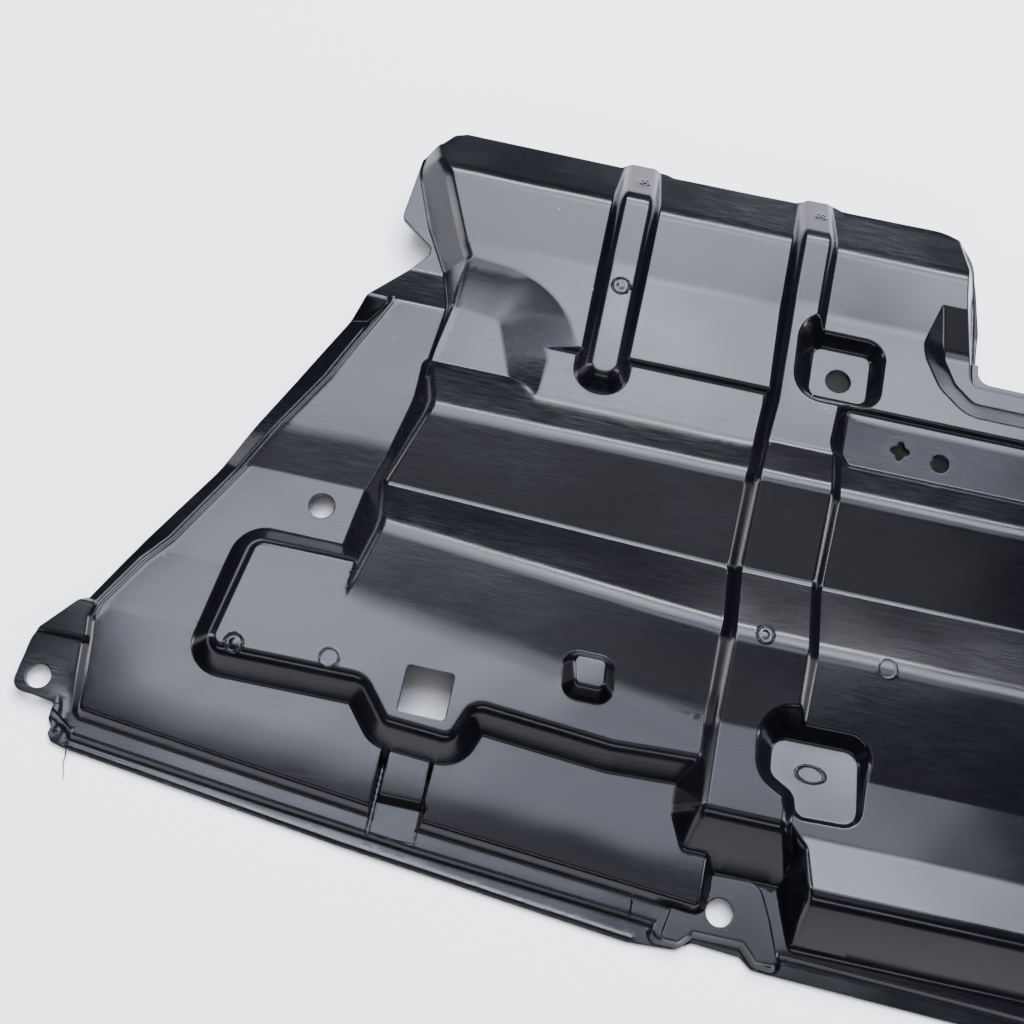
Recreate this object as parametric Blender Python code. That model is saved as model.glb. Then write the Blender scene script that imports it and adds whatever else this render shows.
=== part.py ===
"""Engine splash shield: one moulded plastic sheet that closes the engine bay from below.

The shield lies as it would on a bench, engine side up. X runs across the vehicle, +Y to the rear and
+Z up, and the origin is at the middle of the sheet, on the surface that it lies on.

The sheet is a relief. Its upper surface is one height for every place in plan, built up in the order
that a mould maker would cut it: a low ledge, then raised and sunk forms with drafted walls, soft
shoulders and sharp feet. The lower surface is the upper one moved in by the wall thickness, square to
the surface. Plan places are given in millimetres, as (out, back): out from the centre line and back
from the front line of the shield, so one half describes both.
"""
import math

import bpy
import numpy as np
from mathutils import Vector
from mathutils.geometry import delaunay_2d_cdt

MM = 0.001
TALLEST = 50.0

# The sheet. Where a tight corner is eased, its underside lies EASED_WALLS walls straight below it
WALL = 2.5
EASED_WALLS = 1.25
DRAFT = 0.7
SHOULDER = 3.0
STEP_SHOULDER = 0.8
WING_SHOULDER = 1.2

# How closely the mesh follows the relief, and how far out from an outline its shoulder and foot may lie
CORNER_STEPS = 3
ROW_TOLERANCE = 0.28
SAMPLE = 2.0
SEARCH_IN = -30.0
SEARCH_OUT = 46.0
SEARCH_STEP = 1.5
HALVINGS = 12

# Heights of the upper surface over the lowest one
LEDGE_Z = 2.0
FLANGE_Z = 6.0
PLATE_RISE = 0.9
STEP_Z = 9.0
PANEL_Z = 14.0
WING_Z = 12.0
WING_MIDDLE_Z = 19.0
WING_REAR_Z = 23.0
WING_CREST_Z = 25.0
EAR_Z = 17.5
EAR_REAR_Z = 24.0
SKIRT_DROP = 5.0
SKIRT_TILT = 0.3
PLATEAU_Z = 28.0
VALLEY_Z = 24.0
SHELF_Z = 31.0
DECK_Z = 34.5
DECK_FOLD_Z = 35.0
CREST_DE_Z = 38.0
CREST_EF_Z = 36.0
SHOULDER_Z = 40.0
RIM_Z = 25.0
BROW_Z = 33.0
CHANNEL_RISE = 8.0
RIB_RISE = 8.0
BOSS_RISE = 10.0

# Cross folds of the middle of the shield, measured back from the front line
REAR_EDGE = 388.0
REAR_SHOULDER = 355.0
DECK_FOLD = 317.0
DECK_FRONT = 270.0
DECK_STEP_RUN = 1.8
SHELF_FRONT = 240.0
CREST_CD = 220.0
VALLEY_DE = 176.0
CREST_EF = 141.0
PLATEAU_FOLD_OUT = 98.0
PLATEAU_FOLD_MID = 87.0
BROW_FOLD = 57.0
BROW = 31.5
BROW_FOOT = 10.0
FOLD_SOFT = 5.0
BROW_SOFT = 4.0
SPINE_SOFT = 2.0
SPINE_LEAD = 2.0
SPINE_SINK = 1.0
RAMP_RUN = 38.0
RAMP_DROP = 8.0
FAN_FROM = 172.0
FAN_VALLEY = 0.03
FAN_CREST = 0.087
FAN_PLATEAU = 0.125

# Folds of the wing
WING_NEAR = 95.0
WING_BEND = 129.0
WING_RISE_FROM = 180.0
WING_STEEP_TO = 202.0
WING_EASE_TO = 236.0
WING_CREST = 280.0
WING_DROP_END = 304.0
EAR_FROM = 330.0
EAR_TO = 366.0
SKIRT_FADE = 12.0

# Channel that runs fore and aft, and the short rib
CHANNEL_OUT = 170.0
CHANNEL_WIDTH = 37.0
CHANNEL_REAR_WIDTH = 15.0
CHANNEL_REAR_OUT = 177.0
CHANNEL_WIDEN = 262.0
CHANNEL_FRONT = 58.0
CHANNEL_TOE = 36.0
CHANNEL_DRAFT = 0.5
RIB_OUT = 271.0
RIB_WIDTH = 15.0
RIB_END = 255.0
RIB_TAIL = 3.0
RIB_SINK = 2.0
BROW_FALL = 1.2

# Fastening and other holes
BOLT_HOLE = 12.5
DRAIN_HOLE = 9.0
STAR_HOLE = 8.0
SQUARE_HOLE = 22.0
HOLE_SIDES = 20
WING_HOLE = (391.0, 167.5)
TAB_HOLE = (498.0, 58.0)
FRONT_TAB_HOLE = (169.5, 19.5)
PAD_HOLE = (153.0, 286.0)
DRAIN_PLACE = (98.0, 251.5)
STAR_PLACE = (118.5, 253.5)
SQUARE_PLACE = (319.5, 84.0)

# Pockets
PAD_DEPTH = 7.5
PAD_SIZE = (30.0, 28.0)
OVAL_POCKET_Z = 22.0
SCOOP_Z = 26.5
SCOOP_DRAFT = 4.0
DRAIN_SHELF_Z = 28.0
SLOT_FLOOR_Z = 5.0

# The flange round the notch: it is level, and rises behind NOTCH_LEVEL_TO to meet the deck at NOTCH_TOP
NOTCH_FLANGE_Z = 27.0
NOTCH_LEVEL_TO = 314.0
NOTCH_TOP = 336.5
NOTCH_TOP_Z = 37.5
NOTCH_DRAFT = 1.6
LIP_DROP = 4.5
LIP_DRAFT = 0.5

BEYOND = 40.0

PLASTIC_COLOUR = (0.012, 0.012, 0.016, 1)
PLASTIC_ROUGHNESS = 0.32


def arc_corner(before, corner, after, radius, steps):
    """Points of a round corner of the given radius, from the tangent point on one side to the other."""
    corner = np.array(corner, float)
    a = np.array(before, float) - corner
    b = np.array(after, float) - corner
    room = 0.48 * min(np.hypot(*a), np.hypot(*b))
    a /= np.hypot(*a)
    b /= np.hypot(*b)
    half = math.acos(np.clip(a @ b, -1, 1)) / 2
    if radius <= 0 or half > 1.55 or half < 0.02:
        return [corner]
    radius = min(radius, room * math.tan(half))
    centre = corner + (a + b) / np.hypot(*(a + b)) * radius / math.sin(half)
    start = corner + a * radius / math.tan(half) - centre
    turn = math.pi - 2 * half
    if start[0] * (corner - centre)[1] - start[1] * (corner - centre)[0] < 0:
        turn = -turn
    angles = [turn * k / steps for k in range(steps + 1)]
    return [centre + np.array((start[0] * math.cos(t) - start[1] * math.sin(t),
                               start[0] * math.sin(t) + start[1] * math.cos(t))) for t in angles]


def rounded(corners, radius, steps=CORNER_STEPS):
    """Closed outline with round corners. A corner may give its own radius as a third number."""
    count = len(corners)
    points = []
    for k, corner in enumerate(corners):
        own = corner[2] if len(corner) > 2 else radius
        points += arc_corner(corners[k - 1][:2], corner[:2], corners[(k + 1) % count][:2], own, steps)
    points = np.array(points)
    x, y = points.T
    area = np.sum(x * np.roll(y, -1) - y * np.roll(x, -1))
    return points if area > 0 else points[::-1]


def circle(place, diameter, sides=HOLE_SIDES):
    angles = np.arange(sides) * 2 * math.pi / sides
    return np.stack([place[0] + diameter / 2 * np.cos(angles), place[1] + diameter / 2 * np.sin(angles)], 1)


def outside_distance(outline, x, y):
    """Distance from a closed outline, positive outside it and negative inside."""
    start = outline[:, :, None]
    run = (np.roll(outline, -1, axis=0) - outline)[:, :, None]
    dx, dy = x - start[:, 0], y - start[:, 1]
    along = np.clip((dx * run[:, 0] + dy * run[:, 1]) / (run ** 2).sum(axis=1), 0, 1)
    nearest = np.min((dx - along * run[:, 0]) ** 2 + (dy - along * run[:, 1]) ** 2, axis=0, initial=1e12)
    rise = np.where(run[:, 1] == 0, 1e-12, run[:, 1])
    crosses = ((dy < 0) != (dy - run[:, 1] < 0)) & (dx < run[:, 0] * dy / rise)
    inside = crosses.sum(axis=0) % 2 == 1
    return np.where(inside, -1.0, 1.0) * np.sqrt(nearest)


def soft_ramp(t, soft):
    """Zero before the fold, t after it, and a parabola between them over the width soft on each side."""
    if soft <= 0:
        return np.maximum(t, 0)
    return np.where(np.abs(t) < soft, (t + soft) ** 2 / (4 * soft), np.maximum(t, 0))


def soft_lower(a, b, soft):
    """The lower of two heights, with the edge between them rounded."""
    overlap = np.maximum(soft - np.abs(a - b), 0)
    return np.minimum(a, b) - (overlap ** 2 / (4 * soft) if soft > 0 else 0)


def folded(folds):
    """A surface folded across the shield. Each fold is (back, height, soft, fan).

    Between folds the height runs straight. A fold's place moves back by fan for each millimetre
    outboard of FAN_FROM.
    """
    def height(u, v):
        lines = [back + fan * np.maximum(u - FAN_FROM, 0) for back, _, _, fan in folds]
        slope = (folds[1][1] - folds[0][1]) / (lines[1] - lines[0])
        z = folds[0][1] + slope * (v - lines[0])
        for k in range(1, len(folds) - 1):
            following = (folds[k + 1][1] - folds[k][1]) / (lines[k + 1] - lines[k])
            z = z + (following - slope) * soft_ramp(v - lines[k], folds[k][2])
            slope = following
        return z
    height.folds = folds
    return height


def level(z):
    def height(u, v):
        return np.full(np.shape(u), float(z))
    return height


# The wing is level at the front, dips, rises steeply and then less, and drops behind its crest to the ear
WING_FOLDS = [(0.0, PANEL_Z, 0, 0), (WING_NEAR, PANEL_Z, 0, 0), (WING_BEND, WING_Z, 0, 0),
              (WING_RISE_FROM, WING_Z, 0, 0), (WING_STEEP_TO, WING_MIDDLE_Z, 4, 0),
              (WING_EASE_TO, WING_REAR_Z, 6, 0), (WING_CREST, WING_CREST_Z, 0, 0),
              (WING_DROP_END, EAR_Z, 0, 0), (EAR_FROM, EAR_Z, 0, 0), (EAR_TO, EAR_REAR_Z, 0, 0),
              (REAR_EDGE + BEYOND, EAR_REAR_Z, 0, 0)]
wing_surface = folded(WING_FOLDS)

RIDGE = [(382, 281), (403, 232), (432, 181), (456, 135), (466, 121.5), (479, 96), (480, 90)]


# Share of the skirt's drop, which fades out just before the wing's crest
skirt_fade = folded([(0, 1, 0, 0), (WING_CREST - SKIRT_FADE, 1, 0, 0), (WING_CREST, 0, 0, 0),
                     (REAR_EDGE, 0, 0, 0)])


def ridge_out(v):
    """How far out the wing's edge bead lies at each place back."""
    outs, backs = np.array(RIDGE).T
    return np.interp(v, backs[::-1], outs[::-1])


def ground(u, v):
    """Lip ledge along the front, and the skirt outside the wing's edge bead."""
    beyond = np.maximum(u - ridge_out(v), 0)
    skirt = wing_surface(u, v) - skirt_fade(u, v) * (SKIRT_DROP + SKIRT_TILT * beyond)
    return np.where(v < WING_NEAR - 5, LEDGE_Z, skirt)


class Form:
    """One raised or sunk shape: a face, an outline where face and wall meet, and a drafted wall."""

    def __init__(self, name, outline, face, at=None, draft=DRAFT, soft=SHOULDER, sunk=False, hidden=True):
        self.name = name
        self.outline = outline
        self.face = face
        self.at = at or face
        self.draft = draft
        self.soft = soft / draft
        self.sunk = sunk
        self.hidden = hidden

    def wall(self, u, v):
        rise = outside_distance(self.outline, u, v) / self.draft
        return self.at(u, v) + (rise if self.sunk else -rise)

    def height(self, u, v):
        if self.sunk:
            return -soft_lower(-self.face(u, v), -self.wall(u, v), 0)
        return soft_lower(self.face(u, v), self.wall(u, v), self.soft)

    def joined(self, below, u, v):
        """The surface so far with this form laid over it, worked out only where its walls can reach."""
        (low_u, low_v), (high_u, high_v) = self.outline.min(axis=0), self.outline.max(axis=0)
        reach = TALLEST * self.draft
        near = (u > low_u - reach) & (u < high_u + reach) & (v > low_v - reach) & (v < high_v + reach)
        own = self.height(u[near], v[near])
        over = below.copy()
        over[near] = np.minimum(below[near], own) if self.sunk else np.maximum(below[near], own)
        return over


DECK_FOLDS = [(REAR_EDGE, RIM_Z, 0, 0), (REAR_SHOULDER, SHOULDER_Z, FOLD_SOFT, 0),
              (DECK_FOLD, DECK_FOLD_Z, 0, 0), (DECK_FRONT, DECK_Z, 0, 0),
              (DECK_FRONT - DECK_STEP_RUN, SHELF_Z, 0, 0),
              (SHELF_FRONT - BEYOND, SHELF_Z, 0, 0)]
WAVE_FOLDS = [(SHELF_FRONT, SHELF_Z, 0, 0), (CREST_CD, CREST_DE_Z, FOLD_SOFT, 0),
              (VALLEY_DE, VALLEY_Z, 0, FAN_VALLEY), (CREST_EF, CREST_EF_Z, FOLD_SOFT, FAN_CREST)]


def left_edge_height(u, v):
    """Height at which the outer block's outline is drawn: low beside the wing, and its own edge behind."""
    return np.interp(v, [230, 284, 308, REAR_SHOULDER], [24, SHELF_Z, DECK_FOLD_Z, SHOULDER_Z])


def forms():
    """Every form of one half, in the order in which they are laid over each other."""
    deck = folded(DECK_FOLDS[::-1])
    waves = folded((WAVE_FOLDS
                    + [(PLATEAU_FOLD_OUT, PLATEAU_Z, 0, FAN_PLATEAU),
                       (PLATEAU_FOLD_OUT - RAMP_RUN, PLATEAU_Z - RAMP_DROP, 0, FAN_PLATEAU)])[::-1])
    middle = folded((DECK_FOLDS[:-1] + WAVE_FOLDS
                     + [(PLATEAU_FOLD_MID, PLATEAU_Z, 0, 0), (BROW_FOLD, PLATEAU_Z, 0, 0),
                        (BROW, BROW_Z, BROW_SOFT, 0), (BROW_FOOT, FLANGE_Z, 0, 0),
                        (0.0, FLANGE_Z - BROW_FOOT * BROW_FALL, 0, 0)])[::-1])
    spine = [(REAR_EDGE, RIM_Z + RIB_TAIL, 0, 0), (REAR_SHOULDER, SHOULDER_Z + CHANNEL_RISE, FOLD_SOFT, 0),
             (DECK_FOLD, DECK_FOLD_Z + CHANNEL_RISE, 0, 0), (SHELF_FRONT, SHELF_Z + CHANNEL_RISE, 0, 0),
             (CREST_CD - SPINE_LEAD, CREST_DE_Z + CHANNEL_RISE, SPINE_SOFT, 0),
             (VALLEY_DE - SPINE_LEAD, VALLEY_Z + CHANNEL_RISE, 0, 0),
             (CREST_EF - SPINE_LEAD, CREST_EF_Z + CHANNEL_RISE, FOLD_SOFT, 0),
             (PLATEAU_FOLD_OUT, PLATEAU_Z + CHANNEL_RISE, 0, 0),
             (CHANNEL_FRONT, PLATEAU_Z + CHANNEL_RISE - SPINE_SINK, SPINE_SOFT, 0),
             (CHANNEL_TOE, FLANGE_Z, 0, 0),
             (CHANNEL_TOE - BROW_FOOT, FLANGE_Z - BROW_FOOT * BROW_FALL, 0, 0)]
    rib = [(REAR_EDGE, RIM_Z + RIB_TAIL, 0, 0), (REAR_SHOULDER, SHOULDER_Z + RIB_RISE, FOLD_SOFT, 0),
           (DECK_FOLD, DECK_FOLD_Z + RIB_RISE, 0, 0),
           (RIB_END - RIB_WIDTH, DECK_Z + RIB_RISE - RIB_SINK, 0, 0)]
    notch_flange = folded([(0.0, NOTCH_FLANGE_Z, 0, 0), (NOTCH_LEVEL_TO, NOTCH_FLANGE_Z, 0, 0),
                           (NOTCH_TOP, NOTCH_TOP_Z, 0, 0)])
    channel_in = CHANNEL_OUT - CHANNEL_WIDTH / 2
    channel_out = CHANNEL_OUT + CHANNEL_WIDTH / 2
    rear_in = CHANNEL_REAR_OUT - CHANNEL_REAR_WIDTH / 2
    rear_out = CHANNEL_REAR_OUT + CHANNEL_REAR_WIDTH / 2
    rear = REAR_EDGE + BEYOND
    pad_in = PAD_HOLE[0] - PAD_SIZE[0] / 2
    pad_out = PAD_HOLE[0] + PAD_SIZE[0] / 2
    pad_front = PAD_HOLE[1] + 3 - PAD_SIZE[1] / 2
    pad_back = PAD_HOLE[1] + 3 + PAD_SIZE[1] / 2
    return [
        Form("side strip", rounded([(475, 35.5), (383, 25.7), (309, 18.4), (198, 10), (198, 60),
                                    (475, 60)], 0), level(FLANGE_Z), soft=STEP_SHOULDER),
        Form("middle strip", rounded([(143, 8), (29, 3.9), (-BEYOND, 3.2), (-BEYOND, 60), (143, 60)], 0),
             level(FLANGE_Z), soft=STEP_SHOULDER),
        Form("side tab", rounded([(520, 82), (520, 44), (486, 44), (477, 38), (460, 38), (460, 82)], 2),
             level(FLANGE_Z), soft=STEP_SHOULDER),
        Form("front tab", rounded([(197, 3), (186, 3), (180, 9), (157, 9), (150, 2), (141, 1), (141, 40),
                                   (197, 40)], 3), level(FLANGE_Z), soft=STEP_SHOULDER),
        Form("side step", rounded([(520, 80), (478, 80), (470, 97), (520, 97)], 2), level(STEP_Z),
             soft=STEP_SHOULDER),
        Form("wing", rounded([(382, 281)] + RIDGE[1:] + [(477.5, 77), (473, 46.4), (386, 36.9), (333, 31.5),
                             (309, 29.7), (197, 21.2), (180, 20), (180, 400), (420, 400), (420, 300),
                             (393, 282)], 2), wing_surface, soft=WING_SHOULDER),
        Form("tongue front", rounded([(331, 20), (311, 20), (311, 36), (331, 36)], 0), level(FLANGE_Z),
             draft=0.4, sunk=True),
        Form("outer slot", rounded([(333, 18), (331, 18), (331, 60), (333, 60)], 0), level(SLOT_FLOOR_Z),
             draft=0.1, sunk=True),
        Form("inner slot", rounded([(311.5, 18), (309.5, 18), (309.5, 60), (311.5, 60)], 0),
             level(SLOT_FLOOR_Z), draft=0.1, sunk=True),
        Form("outer deck", rounded([(356, 205), (358, 227), (350, 284), (349, 308), (374, 362), (374, rear),
                                    (172, rear), (172, 205)], 3), deck, at=left_edge_height),
        Form("scoop", rounded([(366, 284), (327, 280, 6), (312, 239), (312, 215), (366, 215)], 1),
             level(SCOOP_Z), draft=SCOOP_DRAFT, sunk=True),
        Form("outer waves", rounded([(373, 95), (365.6, 164), (358, 227), (357, 250), (172, 250),
                                     (172, 95)], 3), waves, at=left_edge_height),
        Form("plateau", rounded([(415, 139, 6), (423, 84, 6), (349, 84.8, 10), (335, 68, 6), (304, 66, 6),
                                 (297.5, 84, 8), (256, 80.8), (232, 79), (180, 81.5), (180, 132), (360, 132),
                                 (360, 139)], 2), level(PLATEAU_Z)),
        Form("middle block", rounded([(172, 72), (172, rear), (104, rear), (92, 345), (88, 311),
                                      (-BEYOND, 311), (-BEYOND, -5), (137, -5), (136, 31), (140, 52),
                                      (150, 62)], 4),
             middle, draft=0.3),
        Form("channel", rounded([(rear_out, rear), (rear_out, CHANNEL_WIDEN), (channel_out, CREST_CD),
                                 (channel_out, CHANNEL_FRONT), (channel_out + 5, CHANNEL_TOE),
                                 (channel_out + 5, 25), (channel_in - 14, 25), (channel_in - 12, CHANNEL_TOE),
                                 (channel_in, CHANNEL_FRONT), (channel_in, pad_front + 1),
                                 (rear_in, pad_front + 9), (rear_in, rear)], 3), folded(spine[::-1]),
             draft=CHANNEL_DRAFT),
        Form("front plate", rounded([(194, 3), (189.7, 24), (187.5, 34.5, 5), (153.5, 35.5, 7), (147, 21),
                                     (140.5, 2), (150, 2), (157, 9), (180, 9), (186, 3)], 2),
             level(FLANGE_Z + PLATE_RISE), soft=0.4),
        Form("rib", rounded([(RIB_OUT + RIB_WIDTH / 2, rear), (RIB_OUT + RIB_WIDTH / 2, RIB_END, 7),
                             (RIB_OUT - RIB_WIDTH / 2, RIB_END, 7), (RIB_OUT - RIB_WIDTH / 2, rear)], 1),
             folded(rib[::-1]), draft=0.6),
        Form("box boss", rounded([(257.5, 114), (242, 114), (241, 100.5), (254.5, 100.5)], 3),
             level(PLATEAU_Z + BOSS_RISE), draft=0.65, soft=2.0, hidden=False),
        Form("bolt pad pocket", rounded([(pad_out, pad_front), (pad_out, pad_back), (pad_in, pad_back),
                                         (pad_in, pad_front)], 5), level(DECK_Z - PAD_DEPTH), sunk=True),
        Form("drain shelf", rounded([(147, 268), (147, 246.5), (143, 241), (-BEYOND, 241),
                                     (-BEYOND, 268)], 3), level(DRAIN_SHELF_Z), sunk=True),
        Form("notch flange", rounded([(107, NOTCH_TOP), (100.3, 309.4), (94.2, 297.9, 8), (84.4, 289.7, 8),
                                      (-BEYOND, 289.3), (-BEYOND, NOTCH_TOP)], 1), notch_flange,
             draft=NOTCH_DRAFT, sunk=True),
        Form("notch lip", rounded([(-BEYOND, 301.5), (84, 301.5, 8), (85, 308), (87.5, 346), (88, 372),
                                   (-BEYOND, 372)], 3), level(NOTCH_FLANGE_Z - LIP_DROP),
             draft=LIP_DRAFT, sunk=True),
        Form("oval pocket", rounded([(160.5, 100), (120, 100.5), (118, 66), (146.5, 65), (148, 75),
                                     (160, 82)], 7), level(OVAL_POCKET_Z), sunk=True, hidden=False),
    ]


OUTLINE = [(0, -5), (57, -4.8), (139, -2), (151, -1.5), (157, 3, 2), (179, 4.5, 3), (186, 0, 2), (208, -1.2),
           (343, 12.5), (477.7, 28.8, 3), (485, 30.7, 2), (488.6, 39, 2), (487.5, 47.5), (497.5, 49),
           (509, 50, 7), (507, 77, 10), (491, 96.8), (487, 100), (470.8, 134.5), (448, 174.5),
           (420, 230), (395.6, 280.4), (371.3, 314.5, 2), (371.3, 319, 2), (390, 333, 4), (386.5, 367, 3),
           (377.5, 374.5, 2), (373, 384, 4), (366.7, 387.5, 4), (282.3, REAR_EDGE - 1),
           (277, REAR_EDGE + 1), (258, REAR_EDGE + 1), (254, REAR_EDGE - 1),
           (184, REAR_EDGE), (181, REAR_EDGE + 2), (166.5, REAR_EDGE + 2), (163, REAR_EDGE),
           (93, REAR_EDGE + 1, 24), (82, 335, 10), (81.5, 304.5, 7), (0, 304)]


def sheet_edge():
    """Closed edge of the whole sheet, from the half outline and its mirror image."""
    inner = OUTLINE[1:-1]
    whole = [(-c[0],) + tuple(c[1:]) for c in [OUTLINE[0]] + inner + [OUTLINE[-1]]]
    return rounded(whole + inner[::-1], 1.5)


def holes():
    """Edges of the through holes on the photographed half, and whether the other half has them too."""
    w = SQUARE_HOLE / 2
    u, v = SQUARE_PLACE
    square = rounded([(u - w, v - w), (u + w, v - w), (u + w, v + w), (u - w, v + w)], 1.5)
    return [(circle(WING_HOLE, BOLT_HOLE), True), (circle(TAB_HOLE, BOLT_HOLE - 1), True),
            (circle(FRONT_TAB_HOLE, BOLT_HOLE), True), (circle(PAD_HOLE, BOLT_HOLE), True),
            (circle(DRAIN_PLACE, DRAIN_HOLE, 14), True), (circle(STAR_PLACE, STAR_HOLE, 12), False),
            (square, True)]


class Relief:
    """The upper surface of both halves, and the lines on it that the mesh has to follow."""

    def __init__(self):
        self.halves = {-1: forms(), 1: [f for f in forms() if f.hidden]}

    def height(self, x, y):
        z = np.empty(x.shape)
        for side, stack in self.halves.items():
            here = x * side >= 0 if side > 0 else x < 0
            z[here] = self.half_height(stack, np.abs(x[here]), y[here])
        return z

    @staticmethod
    def half_height(stack, u, v):
        z = ground(u, v)
        for form in stack:
            z = form.joined(z, u, v)
        return z

    def lines(self):
        """Polylines in plan with x across: rows along every form's edge, shoulder and foot, and folds."""
        found = []
        for side, stack in self.halves.items():
            for k, form in enumerate(stack):
                below = stack[:k]
                for row in edge_rows(form, lambda u, v: self.half_height(below, u, v)):
                    found += self.visible(row, stack, form.height, side)
                for row in fold_rows(form.face):
                    found += self.visible(row, stack, form.face, side)
            for row in fold_rows(wing_surface) + fold_rows(skirt_fade):
                found += self.visible(row, stack, ground, side)
        return found

    def visible(self, row, stack, face, side):
        """The stretches of a line where its own surface is the one on top, thinned to what they need."""
        if len(row) < 2:
            return []

        def shows(points):
            u, v = points.T
            return (np.abs(self.half_height(stack, u, v) - face(u, v)) < 0.02) & (u >= 0)
        seen = shows(row)
        first, last = row[:-1].copy(), row[1:].copy()
        change = seen[:-1] != seen[1:]
        good = np.where(seen[:-1, None], first, last)
        inner, outer = good[change], np.where(seen[:-1, None], last, first)[change]
        for _ in range(10):
            middle = (inner + outer) / 2
            ok = shows(middle)[:, None]
            inner, outer = np.where(ok, middle, inner), np.where(ok, outer, middle)
        good[change] = inner
        runs, run = [], []
        for k in range(len(row)):
            if seen[k]:
                run.append(row[k])
            if k < len(row) - 1 and change[k]:
                if seen[k]:
                    run.append(good[k])
                    runs.append(run)
                    run = []
                else:
                    run = [good[k]]
        runs.append(run)
        out = []
        for points in runs:
            if len(points) > 1:
                points = np.array(points)
                z = self.half_height(stack, points[:, 0], points[:, 1])
                kept = thinned(np.column_stack([points, z]), ROW_TOLERANCE)
                out.append(kept[:, :2] * (side, 1))
        return out


def thinned(points, tolerance):
    """Drops the points of a line in space that lie within the tolerance of the straight run past them."""
    if len(points) < 3:
        return points
    keep = np.zeros(len(points), bool)
    keep[[0, -1]] = True
    stack = [(0, len(points) - 1)]
    if np.hypot(*(points[0] - points[-1])[:2]) < 1e-6:
        far = int(np.argmax(np.hypot(*(points - points[0])[:, :2].T)))
        keep[far] = True
        stack = [(0, far), (far, len(points) - 1)]
    while stack:
        a, b = stack.pop()
        if b - a < 2:
            continue
        run = points[b] - points[a]
        t = np.clip((points[a + 1:b] - points[a]) @ run / (run @ run + 1e-12), 0, 1)
        off = np.linalg.norm(points[a + 1:b] - points[a] - t[:, None] * run, axis=1)
        worst = int(np.argmax(off))
        if off[worst] > tolerance:
            keep[a + 1 + worst] = True
            stack += [(a, a + 1 + worst), (a + 1 + worst, b)]
    return points[keep]


def walked(outline, step):
    """Points at even steps round a closed outline, with the outward direction at each."""
    points, normals = [], []
    for a, b in zip(outline, np.roll(outline, -1, axis=0)):
        length = np.hypot(*(b - a))
        if length < 1e-6:
            continue
        count = max(1, int(length / step))
        for k in range(count):
            points.append(a + (b - a) * k / count)
            normals.append((np.array((b[1] - a[1], a[0] - b[0])) / length, k == 0))
    directions = []
    for k, (normal, corner) in enumerate(normals):
        if corner:
            normal = normal + normals[k - 1][0]
            normal = normal / np.hypot(*normal)
        directions.append(normal)
    return np.array(points), np.array(directions)


def edge_rows(form, below):
    """Lines along the two sides and the middle of a form's shoulder, and along its foot."""
    start, normal = walked(form.outline, SAMPLE)
    steps = np.arange(SEARCH_IN, SEARCH_OUT, SEARCH_STEP)

    def places(s):
        return start + normal * np.reshape(s, (-1, 1))

    def over(s):
        u, v = places(s).T
        gap = form.face(u, v) - form.wall(u, v)
        return -gap if form.sunk else gap

    def stands(s):
        u, v = places(s).T
        gap = form.height(u, v) - below(u, v)
        return gap if not form.sunk else -gap

    def crossing(value, from_s, sign):
        """The first step outward from from_s where value changes from below to above zero."""
        table = np.stack([sign * value(np.full(len(start), s)) for s in steps], 1)
        good = (table[:, :-1] <= 0) & (table[:, 1:] > 0) & (steps[None, 1:] > from_s[:, None])
        found = good.any(axis=1)
        low = steps[np.argmax(good, axis=1)]
        high = low + SEARCH_STEP
        for _ in range(HALVINGS):
            middle = (low + high) / 2
            up = sign * value(middle) > 0
            high = np.where(up, middle, high)
            low = np.where(up, low, middle)
        return np.where(found, (low + high) / 2, np.nan)

    soft = 0 if form.sunk else form.soft
    rows = []
    edge = None
    for offset in ((-soft, 0, soft) if soft > 0 else (0,)):
        edge = crossing(lambda s: over(s) - offset, np.full(len(start), SEARCH_IN), 1)
        rows.append(joined_row(places(edge), edge))
    foot = crossing(stands, np.where(np.isnan(edge), 0, edge) - 0.5, -1)
    rows.append(joined_row(places(foot), foot))
    return rows


def joined_row(points, found):
    """Closes a row round its outline, and leaves out the points that were not found."""
    good = ~np.isnan(found)
    points = points[good]
    if good.all() and len(points):
        points = np.vstack([points, points[:1]])
    return points


def fold_rows(face):
    """Lines along each fold of a folded face, one each side of it where it is soft."""
    rows = []
    for back, _, soft, fan in getattr(face, "folds", [])[1:-1]:
        for offset in ((-soft, -soft / 3, soft / 3, soft) if soft > 0 else (0,)):
            outs = np.arange(0, 520, SAMPLE)
            rows.append(np.stack([outs, back + fan * np.maximum(outs - FAN_FROM, 0) + offset], 1))
    return rows


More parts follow.
